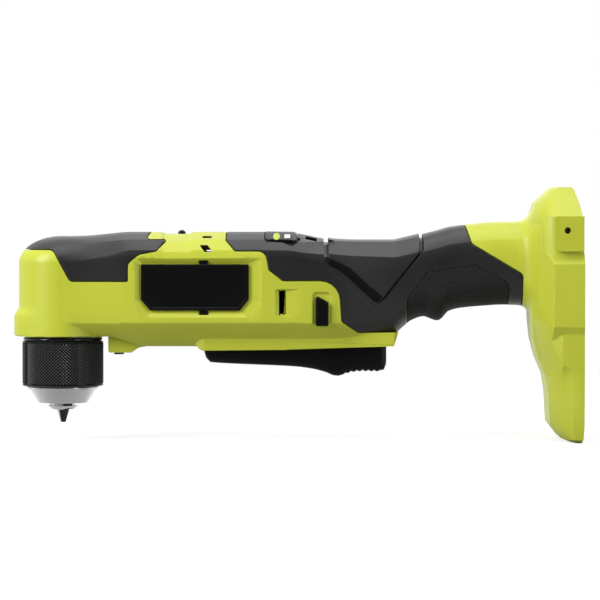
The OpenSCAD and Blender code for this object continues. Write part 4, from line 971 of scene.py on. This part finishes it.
def makeFoot():
    rings = []
    for z, *line in footShape["rows"]:
        rings.append([at(x, sign * y, z) for sign, side in ((-1, line), (1, line[::-1])) for x, y in side])
    foot = loft("foot", rings)
    for block in [makeFlankStep(*row) for row in footShape["steps"]] + [box("lug", *footShape["lug"])]:
        join(foot, mirrorPiece(block, "otherSide"), block)
    return foot


def makeSkirt():
    half = skirtShape["plan"]
    tool = planPrism("skirtPlan", half + [(x, -y) for x, y in reversed(half)], *skirtShape["height"])
    return keepWithin(prism("skirt", outline("skirt"), -skirtShape["halfW"], skirtShape["halfW"]), tool)


def softRoom(name):
    # what a soft piece takes away from the housing: its outline, down to the housing's own skin
    tool = cut(through(name + "Room", outline(name)), bodyLoft("inner", softRoomDepth))
    return cut(tool, headSpin("innerHead", softRoomDepth)) if name == "bumper" else tool


def sidePrism(name, side, depths, low, high=None):
    return prism(name, low, depths[0] * side, depths[1] * side, high)


def sideBox(name, side, low, high):
    near, far = sorted((low[1] * side, high[1] * side))
    return box(name, (low[0], near, low[2]), (high[0], far, high[2]))


def triggerRoom():
    return prism("triggerRoom", outline("triggerRoom"), -triggerHalf, triggerHalf)


def makeHousing():
    shell, shape = headSpin("housing"), flankShape
    join(shell, bodyLoft("body"), makeFoot(), makeSkirt(), prism("lightBoss", outline("lightBoss"), -bossHalf, bossHalf))
    print("housing joined, faces", len(shell.data.polygons))
    cut(shell, softRoom("overmould"), softRoom("bumper"))
    for side in (-1, 1):
        dish = [outline("selectorDish", grow) for grow in shape["dishGrow"]]
        cut(shell, sidePrism("pocket", side, shape["pocket"], outline("plateFloor"), outline("plateMouth")),
            sideBox("clipNotch", side, *shape["notch"]),
            sidePrism("vent", side, shape["vent"], outline("vent")),
            sideBox("topVent", side, *shape["topVent"]),
            sidePrism("dish", side, shape["dish"], *dish),
            planPrism("scoop", [(x, y * side) for x, y in shape["scoop"]], *shape["scoopHeight"]),
            sidePrism("sideVent", side, shape["sideVent"], outline("sideVent")),
            sidePrism("selectorRoom", side, shape["selectorRoom"], outline("selector", selectorGap)))
    x, height, radius = footShape["lanyard"]
    cut(shell, crossRod("lanyard", x, height, -farOut, farOut, radius, 40), triggerRoom())
    print("housing cut, faces", len(shell.data.polygons))
    return shell


def cutRooms(piece, rows):
    for name, low, high, *bore in rows:
        cut(piece, rod(name, low, high, *bore) if bore else box(name, low, high))


def hollowHousing(shell):
    shape = roomShape
    cut(shell, spinPiece("caseRoom", shape["case"], shape["caseSteps"], axisZ))
    cutRooms(shell, shape["drive"])
    hollow = bodyLoft("rearRoom", *shape["rear"])
    for start, end, top in shape["ribs"]:
        cut(hollow, box("rib", (start, -farOut, -farOut), (end, farOut, top)))
    for x, height in screwSpots[2:6]:
        cut(hollow, crossRod("post", x, height, -farOut, farOut, screwShape["post"], 32))
    cut(shell, hollow)
    cutRooms(shell, shape["trigger"])
    cut(shell, prism("selectorRoom", outline("selector", selectorGap), -shape["selectorHalf"], shape["selectorHalf"]))
    cutRooms(shell, shape["other"])
    print("housing hollowed, faces", len(shell.data.polygons))
    return shell


def partInTwo(piece, leftName, rightName):
    right = copyPiece(piece, rightName)
    piece.name = leftName
    cut(piece, box("rightSide", (-100, -partingGap, -200), (400, 200, 200)))
    cut(right, box("leftSide", (-100, -200, -200), (400, partingGap, 200)))
    return piece, right


def cutScrewWells(piece, spots):
    for x, height in spots:
        cut(piece, crossRod("screwWell", x, height, *screwShape["well"], 32))


def splitHousing(shell, skin):
    left, right = partInTwo(shell, "housingLeft", "housingRight")
    for x, height in screwSpots:
        cut(left, crossRod("screwCore", x, height, *screwShape["core"], 24))
        cut(right, crossRod("screwShank", x, height, *screwShape["shank"], 24))
    cutScrewWells(right, screwSpots)
    shape = edgeShape
    for half, node in ((left, "housing_left"), (right, "housing_right")):
        softenEdges(half, shape["foot"], angle=14, crowd=0.6, skin=skin, zone=(shape["footFrom"], 999))
        softenEdges(half, shape["body"], skin=skin, zone=(-999, shape["bodyTo"]), spare=shape["spare"])
        dress(half, "green", "housing", "green_plastic", node)


shell = makeHousing()
shellSkin = skinOf(shell)
splitHousing(hollowHousing(shell), shellSkin)


# soft pieces on the housing

panelShape = dict(x=(104.6, 120.8), halfW=20.6, corner=2.2, proud=0.25, deep=0.9, gap=0.05,
    room=(104.3, 121.1, 20.9, 2.4), height=(15, 60), span=(95, 130), innerSpan=(90, 140), buttonHalf=8.1)
overmouldShape = dict(padRecess=1.75, slotReach=(9, 40), scoopDepth=0.9, buttonHalf=9.1, edge=0.42)
gripShape = dict(sink=0.12, gap=seam / 3, edge=0.4)
padShape = dict(proud=0.6, depth=1.7, edge=[(137.4, 25.6, 17.4), (163.4, 21.4, -3.6)], foot=(147.6, 21.2, 2.0))


def roundedPlan(x0, x1, half, corner):
    return roundOutline([(x0, -half, corner), (x1, -half, corner), (x1, half, corner), (x0, half, corner)])


def buttonRoom(half):
    return box("modeRoom", (104, -half, panelShape["height"][0]), (121, half, farOut))


def makeBumper():
    piece = join(headSpin("headBumper"), bodyLoft("body", 0, -99, 60))
    keepWithin(piece, through("bumperOutline", outline("bumper", -seam)))
    skin = skinOf(piece)
    cut(piece, join(headSpin("innerHead", softDepth), bodyLoft("inner", softDepth)))
    softenEdges(piece, 0.5, 3, skin=skin)
    dress(piece, "softGrey", "housing", "soft_grey", "head_bumper")


def makeOvermould():
    shape = overmouldShape
    piece = keepWithin(bodyLoft("overmould"), through("overmouldOutline", outline("overmould", -seam)))
    cut(piece, cut(through("padRecess", outline("padRecess")), bodyLoft("padFloor", shape["padRecess"])))
    cut(piece, through("gripOutline", outline("grip")))
    panel = planPrism("panelRoom", roundedPlan(*panelShape["room"]), *panelShape["height"])
    cut(piece, cut(panel, bodyLoft("panelFloor", panelShape["deep"] + panelShape["gap"])))
    for side in (-1, 1):
        reach = sorted(y * side for y in shape["slotReach"])
        cut(piece, prism("slot", outline("slot"), *reach))
        cut(piece, cut(prism("scoop", outline("panelScoop"), *reach), bodyLoft("scoopFloor", shape["scoopDepth"])))
    cut(piece, buttonRoom(shape["buttonHalf"]))
    skin = skinOf(piece)
    cut(piece, bodyLoft("inner", softDepth), triggerRoom())
    left, right = partInTwo(piece, "overmouldLeft", "overmouldRight")
    cutScrewWells(right, screwSpots[1:6])
    for half, node in ((left, "overmold_left"), (right, "overmold_right")):
        softenEdges(half, shape["edge"], 3, skin=skin)
        dress(half, "softGrey", "housing", "soft_grey", node)


def makeGrips():
    shape = gripShape
    piece = keepWithin(bodyLoft("grip", shape["sink"]), through("gripOutline", outline("grip", -shape["gap"])))
    skin = skinOf(piece)
    cut(piece, bodyLoft("inner", softDepth))
    left, right = partInTwo(piece, "gripLeft", "gripRight")
    cutScrewWells(right, screwSpots[3:6])
    for half, node in ((left, "grip_left"), (right, "grip_right")):
        softenEdges(half, shape["edge"], 3, skin=skin)
        dress(half, "grip", "housing", "grip_rubber", node)


def makeSaddlePad():
    shape = padShape
    piece = keepWithin(bodyLoft("saddlePad", -shape["proud"]), through("padOutline", outline("padFace")))
    flanks = []
    for side in (-1, 1):    # the flank towards the head slopes down into the recess
        a, b, c = [Vector(at(x, side * y, z)) for x, y, z in (*shape["edge"], shape["foot"])]
        normal = (b - a).cross(c - a).normalized()
        flanks.append((a, normal if normal.y * side > 0 else -normal))
        sliceAway(piece, *flanks[-1])
    skin = skinOf(piece)
    cut(piece, bodyLoft("inner", shape["depth"]))
    cutScrewWells(piece, screwSpots[3:4])
    softenEdges(piece, 0.4, 3, 22, skin=skin)
    dress(piece, "softGrey", "housing", "soft_grey", "saddle_pad")
    # the sloping flanks take the darker, duller copy of the soft grey: painted shade where they face down
    piece.data.materials.append(finishes["flank"])    # the sloping flanks are left dull and darker
    for face in piece.data.polygons:
        if any(face.normal.dot(way) > 0.97 and abs((face.center - foot).dot(way)) < 0.1 * mm for foot, way in flanks):
            face.material_index = 1


makeBumper()
makeOvermould()
makeGrips()
makeSaddlePad()
print("soft pieces made")


# mode button with its panel and marks, selector, nameplates

plateShape = dict(edge=[(0, 24.15), (0, 25.1), (0.12, 25.4), (0.45, 25.68), (0.95, 25.8), (1.5, 25.8), (1.7, 25.62)],
    corner=0.9, leastCorner=0.25, tabX=(71.2, 75.6), tabFace=25.25, tabs=[(11.4, 13.9), (-13.4, -10.8)])
selectorShape = dict(bar=((131.4, -19.5, -15.5), (135.8, 19.5, -8.5)), tongue=((135.6, -1.5, -10.5), (141, 1.5, -8.5)),
    shield=((129.8, -0.75, -19.7), (137.5, 0.75, -3.2)), reach=27.5, root=19.0,
    mark=[(132.3, -17.2), (135.0, -17.2), (133.65, -14.4)], markDepth=0.3, markEnd=30)
buttonShape = dict(x=(105.5, 119.5), halfW=7.5, corner=2.0, floor=23.7, top=28.55, ribs=5, margin=2,
    groove=(4.6, 0.35, 0.75))
markShape = dict(disc=(110.4, 26.3, 1.75), bar=(114.4, 117.4, 25.4, 27.3), proud=0.12, sunk=0.05, reach=40)


def makePlates():
    shape = plateShape
    corners = [Vector((x, z)) for x, z, r in outlines["plate"]]
    rings = []
    for shrink, y in shape["edge"]:
        radius = max(shape["leastCorner"], shape["corner"] - shrink)
        line = roundOutline([(c.x, c.y, radius) for c in growOutline(corners, -shrink)])
        rings.append([at(c.x, -y, c.y) for c in line])
    left = loft("nameplateLeft", rings)
    start, end = shape["tabX"]
    for low, high in shape["tabs"]:
        tab = box("tab", (start, -shape["tabFace"], low), (end, -shape["edge"][0][1], high))
        join(left, softenEdges(tab, 0.15))
    right = mirrorPiece(left, "nameplateRight")
    for plate, node in ((left, "nameplate_left"), (right, "nameplate_right")):
        dress(plate, "black", "housing", "black_plastic", node, angle=25)


def makePanel():
    shape = panelShape
    plan = roundedPlan(*shape["x"], shape["halfW"], shape["corner"])
    piece = bodyLoft("modePanel", -shape["proud"], *shape["span"])
    keepWithin(piece, planPrism("panelPlan", plan, *shape["height"]))
    cut(piece, buttonRoom(shape["buttonHalf"]))
    skin = skinOf(piece)
    cut(piece, bodyLoft("inner", shape["deep"], *shape["innerSpan"]))
    softenEdges(piece, 0.35, skin=skin)
    dress(piece, "black", "housing", "black_plastic")
    x, z, radius = markShape["disc"]
    x0, x1, z0, z1 = markShape["bar"]
    reach = markShape["reach"]
    for name, finish, slotName, tool in (
            ("panelDisc", "markGreen", "green_plastic", crossRod("disc", x, z, -reach, reach, radius, 40)),
            ("panelBar", "markWhite", "lens", box("bar", (x0, -reach, z0), (x1, reach, z1)))):
        mark = keepWithin(bodyLoft(name, -shape["proud"] - markShape["proud"], *shape["span"]), tool)
        cut(mark, bodyLoft("inner", -shape["proud"] + markShape["sunk"], *shape["innerSpan"]))
        softenEdges(mark, 0.08)
        dress(mark, finish, "housing", slotName)


def makeButton():
    shape = buttonShape
    start, end = shape["x"]
    plan = roundedPlan(start, end, shape["halfW"], shape["corner"])
    piece = planPrism("modeButton", plan, shape["floor"], shape["top"])
    pitch = (end - start - 2 * shape["margin"]) / shape["ribs"]
    half, above, radius = shape["groove"]
    for k in range(shape["ribs"]):    # finger grooves across the top
        x = start + shape["margin"] + pitch * (k + 0.5)
        cut(piece, crossRod("groove", x, shape["top"] + above, -half, half, radius, 24))
    softenEdges(piece, 0.3)
    dress(piece, "black", "mode_button", "black_plastic", "mode_button")


def makeSelector():
    shape = selectorShape
    piece = join(box("selectorBar", *shape["bar"]), box("tongue", *shape["tongue"]))
    join(piece, box("shield", *shape["shield"]))    # closes the view through the gaps
    for side in (-1, 1):
        join(piece, sidePrism("cap", side, (shape["root"], shape["reach"]), outline("selector")))
    softenEdges(piece, 0.45, 3)
    depths = (shape["reach"] - shape["markDepth"], shape["markEnd"])
    for side in (-1, 1):
        cut(piece, sidePrism("mark", side, depths, [Vector(p) for p in shape["mark"]]))
    dress(piece, "black", "selector", "black_plastic", "selector")


makePlates()
makePanel()
makeButton()
makeSelector()
print("controls made")


# trigger paddle with finger ridges

triggerShape = dict(
    stations=[(73, 12.3, -24.6, -32), (74.2, 13.1, -24.6, -36), (76.4, 13.5, -24.6, -38.2), (86, 13.5, -24.6, -38.9),
        (119, 13.5, -26.5, -40.4), (128, 13.5, -26.5, -41.5), (136.2, 13.5, -26.5, -43.6), (139.3, 13.5, -26.5, -45),
        (142.2, 13.5, -26.5, -45.3), (144.8, 13.5, -26.5, -44.5), (149.5, 13.5, -26.5, -43.3), (155, 13.5, -26.5, -42.9),
        (163, 13.5, -26.5, -43), (165.4, 13.1, -26.5, -42.2), (166.6, 12.3, -26.5, -39.5)],
    spacing=(2.0, 0.25), corner=2.6, chamfer=0.6, steps=6, ridges=(145.6, 163.4, 6), depth=0.75, pivot=(79, -28, 1.55))


def makeTrigger():
    shape = triggerShape
    start, end, count = shape["ridges"]
    wide, fine = [smoothStations(shape["stations"], spacing) for spacing in shape["spacing"]]
    rows = [row for row in wide if not start < row[0] < end] + [row for row in fine if start < row[0] < end]
    turns = [math.pi / 2 * k / shape["steps"] for k in range(shape["steps"], -1, -1)]
    rings = []
    for x, half, top, low in sorted(rows):
        if start < x < end:
            low += shape["depth"] * (1 - abs(math.sin(math.pi * count * (x - start) / (end - start))) ** 0.7)
        r = min(shape["corner"], (top - low) / 3)
        side = [(half - r + r * math.cos(a), low + r - r * math.sin(a)) for a in turns]
        rings.append(mirrorRing(x, side + [(half, top - shape["chamfer"]), (half - shape["chamfer"], top)]))
    piece = loft("triggerPaddle", rings)
    x, z, radius = shape["pivot"]
    cut(piece, crossRod("pivot", x, z, -30, 30, radius, 32))
    dress(piece, "black", "trigger", "black_plastic", "trigger", angle=50)


# coil spring between trigger and housing

springShape = dict(x=124, coil=3.6, wire=0.5, low=-25.9, high=-14.6, turns=6, steps=28, round=10, seat=-14, keep=0.68)


def makeSpring():
    shape = springShape
    count = shape["turns"] * shape["steps"]
    rings = []
    for k in range(count + 1):
        turn = 2 * math.pi * k / shape["steps"]
        height = shape["low"] + (shape["high"] - shape["low"]) * k / count + axisZ
        ring = []
        for j in range(shape["round"]):
            around = 2 * math.pi * j / shape["round"]
            radius = shape["coil"] + shape["wire"] * math.cos(around)
            ring.append(((shape["x"] + radius * math.cos(turn)) * mm, radius * math.sin(turn) * mm,
                (height + shape["wire"] * math.sin(around)) * mm))
        rings.append(ring)
    piece = dress(loft("triggerSpring", rings), "steel", "housing", "steel", "trigger_spring", angle=60)
    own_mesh(piece)


makeTrigger()
makeSpring()
print("trigger made")


# chuck: knurled sleeve, rear ring and steel nose

sleeveShape = dict(low=12.2, high=35.2, radius=21.0, bore=16.0, relief=16.8, reliefFrom=20.2, knurl=(13.2, 34.6),
    rows=13, columns=72, depth=0.5, bandTurn=-56.0, bandHalf=6.9, bandSink=0.5, bandRim=0.35, plain=0.38)
noseShape = dict(
    profile=[(0, 0), (5.6, 0), (7.75, 1.75), (7.85, 1.95), (7.75, 2.05), (6.2, 2.05), (6.2, 3.5), (12.3, 3.5),
        (12.75, 3.55), (13.0, 3.9), (16.9, 10.2), (17.3, 10.5), (18.0, 10.6), (18.25, 10.8), (18.3, 11.1), (18.3, 11.6),
        (18.0, 11.9), (15.7, 11.9), (15.7, 14.2), (10.2, 14.2), (10.2, 20.2), (15.7, 20.2), (15.7, 35.2), (13, 35.2),
        (13, 37), (0, 37)],
    steps=128, jawTurns=(-60, 60, 180), jawTilt=16.0, jawStart=(1.0, -6.6), jawR=3.3, jawReach=(4, 60),
    bores=[("thread", 19.5, 4.77, 48), ("screwHole", 13.5, 2.02, 32)], boreEnd=60)
ringShape = dict(low=35.5, high=37.3, radius=20.4, bore=13.0, steps=96)


def pickFaces(piece, wanted):
    openMesh(piece)
    bpy.ops.mesh.select_mode(type="FACE")
    bpy.ops.mesh.select_all(action="DESELECT")
    mesh = bmesh.from_edit_mesh(piece.data)
    for face in mesh.faces:
        if wanted(face):
            face.select_set(True)
    bmesh.update_edit_mesh(piece.data)


def makeSleeve():
    shape = sleeveShape
    radius, bottom, top = shape["radius"], shape["low"], shape["high"]
    base = radius - shape["depth"]
    low, high = shape["knurl"]
    wall = [(base, low + (high - low) * k / shape["rows"]) for k in range(shape["rows"] + 1)]
    profile = [(shape["bore"], bottom), (radius - 0.8, bottom), (radius - 0.25, bottom + 0.25),
        (radius - 0.05, bottom + 0.7), *wall, (radius - 0.05, high + 0.2), (radius - 0.2, top - 0.2), (radius - 0.6, top),
        (shape["relief"], top), (shape["relief"], shape["reliefFrom"]), (shape["bore"], shape["reliefFrom"])]
    piece = spinPiece("chuckSleeve", profile, shape["columns"])

    def angleOff(x, y):
        return abs((math.degrees(math.atan2(y, x)) - shape["bandTurn"] + 45) % 90 - 45)

    def onWall(face):
        middle = face.calc_center_median() / mm
        return math.hypot(middle.x, middle.y) > base - 0.4 and low < middle.z < high

    def inPanel(face):
        middle = face.calc_center_median()
        return onWall(face) and angleOff(middle.x, middle.y) > shape["bandHalf"]

    def endsOf(edge):
        return tuple(sorted(point.index for point in edge.verts))

    pickFaces(piece, lambda face: onWall(face) and not inPanel(face))
    bpy.ops.mesh.inset(thickness=shape["bandRim"] * mm, depth=-shape["bandSink"] * mm)
    pickFaces(piece, inPanel)
    mesh = bmesh.from_edit_mesh(piece.data)
    squares = set(face for face in mesh.faces if face.select)
    between = set(endsOf(edge) for face in squares for edge in face.edges
        if all(other in squares for other in edge.link_faces))
    bpy.ops.mesh.poke()
    # the squares' own edges go, so that diamonds are left, and each diamond becomes a small point
    bpy.ops.mesh.select_mode(type="EDGE")
    bpy.ops.mesh.select_all(action="DESELECT")
    mesh = bmesh.from_edit_mesh(piece.data)
    for edge in mesh.edges:
        if endsOf(edge) in between:
            edge.select_set(True)
    bmesh.update_edit_mesh(piece.data)
    bpy.ops.mesh.dissolve_edges(use_verts=False)
    pickFaces(piece, lambda face: inPanel(face) and len(face.verts) == 4)
    bpy.ops.mesh.poke(offset=shape["depth"] * mm)
    bpy.ops.mesh.select_mode(type="VERT")
    closeMesh()
    # the shader reads how high each point of the knurl stands: grooves 0, points 1, plain bands and rims between; from
    # it the finish paints the points paler and the grooves darker, as painted highlight and painted shade
    peaks = piece.data.attributes.new("peak", "FLOAT", "POINT")
    for point in piece.data.vertices:
        x, y, z = point.co / mm
        reach = math.hypot(x, y)
        knurled = low - 0.01 < z < high + 0.01 and base - 0.1 < reach and angleOff(x, y) > shape["bandHalf"]
        level = 1.0 if reach > base + shape["depth"] * 0.5 else 0.0
        peaks.data[point.index].value = level if knurled else shape["plain"]
    dress(piece, "knurl", "sleeve", "black_plastic", "chuck_sleeve", angle=26)


def makeNose():
    shape = noseShape
    piece = spinPiece("chuckNose", shape["profile"], shape["steps"])
    rho, start = shape["jawStart"]
    before, after = shape["jawReach"]
    tilt = math.radians(shape["jawTilt"])
    for turn in map(math.radians, shape["jawTurns"]):
        way = Vector((math.cos(turn) * math.sin(tilt), math.sin(turn) * math.sin(tilt), math.cos(tilt)))
        foot = Vector((math.cos(turn) * rho, math.sin(turn) * rho, start))
        cut(piece, rod("jawBore", foot - way * before, foot + way * after, shape["jawR"], lift=0))
    for name, low, radius, sides in shape["bores"]:
        cut(piece, rod(name, (0, 0, low), (0, 0, shape["boreEnd"]), radius, sides, 0))
    dress(piece, "nose", "spindle", "bright_steel", "chuck_body", angle=32)


def makeRing():
    shape = ringShape
    low, high, r = shape["low"], shape["high"], shape["radius"]
    middle, half = (low + high) / 2, (high - low) / 2
    turns = [math.radians(-90 + 15 * k) for k in range(13)]
    edge = [(r - half + half * math.cos(a), middle + half * math.sin(a)) for a in turns]
    piece = spinPiece("chuckRing", [(shape["bore"], low), *edge, (shape["bore"], high)], shape["steps"])
    dress(piece, "sleeve", "spindle", "black_plastic", "chuck_back")


makeSleeve()
makeNose()
makeRing()
print("chuck made")


# CAD nodes that stay take a finish by their slot

nodeFinish = dict(board="board", lens="lens", copper="copper", alloy="alloy", steel="steel", bright_steel="brightSteel",
    green_plastic="green", soft_grey="softGrey", grip_rubber="grip", black_plastic="black")
# two of the three alike jaws take the darker steel as painted shade, the third the bright steel
ownFinish = dict(battery_leads="lead", jaw_1="jaw", jaw_2="jaw", jaw_3="brightSteel")
for row in frame["record"]["subparts"]:
    node = frame["nodes"][row["node"]]
    node.data.materials.clear()
    node.data.materials.append(finishes[ownFinish.get(row["node"], nodeFinish[row["material_slot"]])])
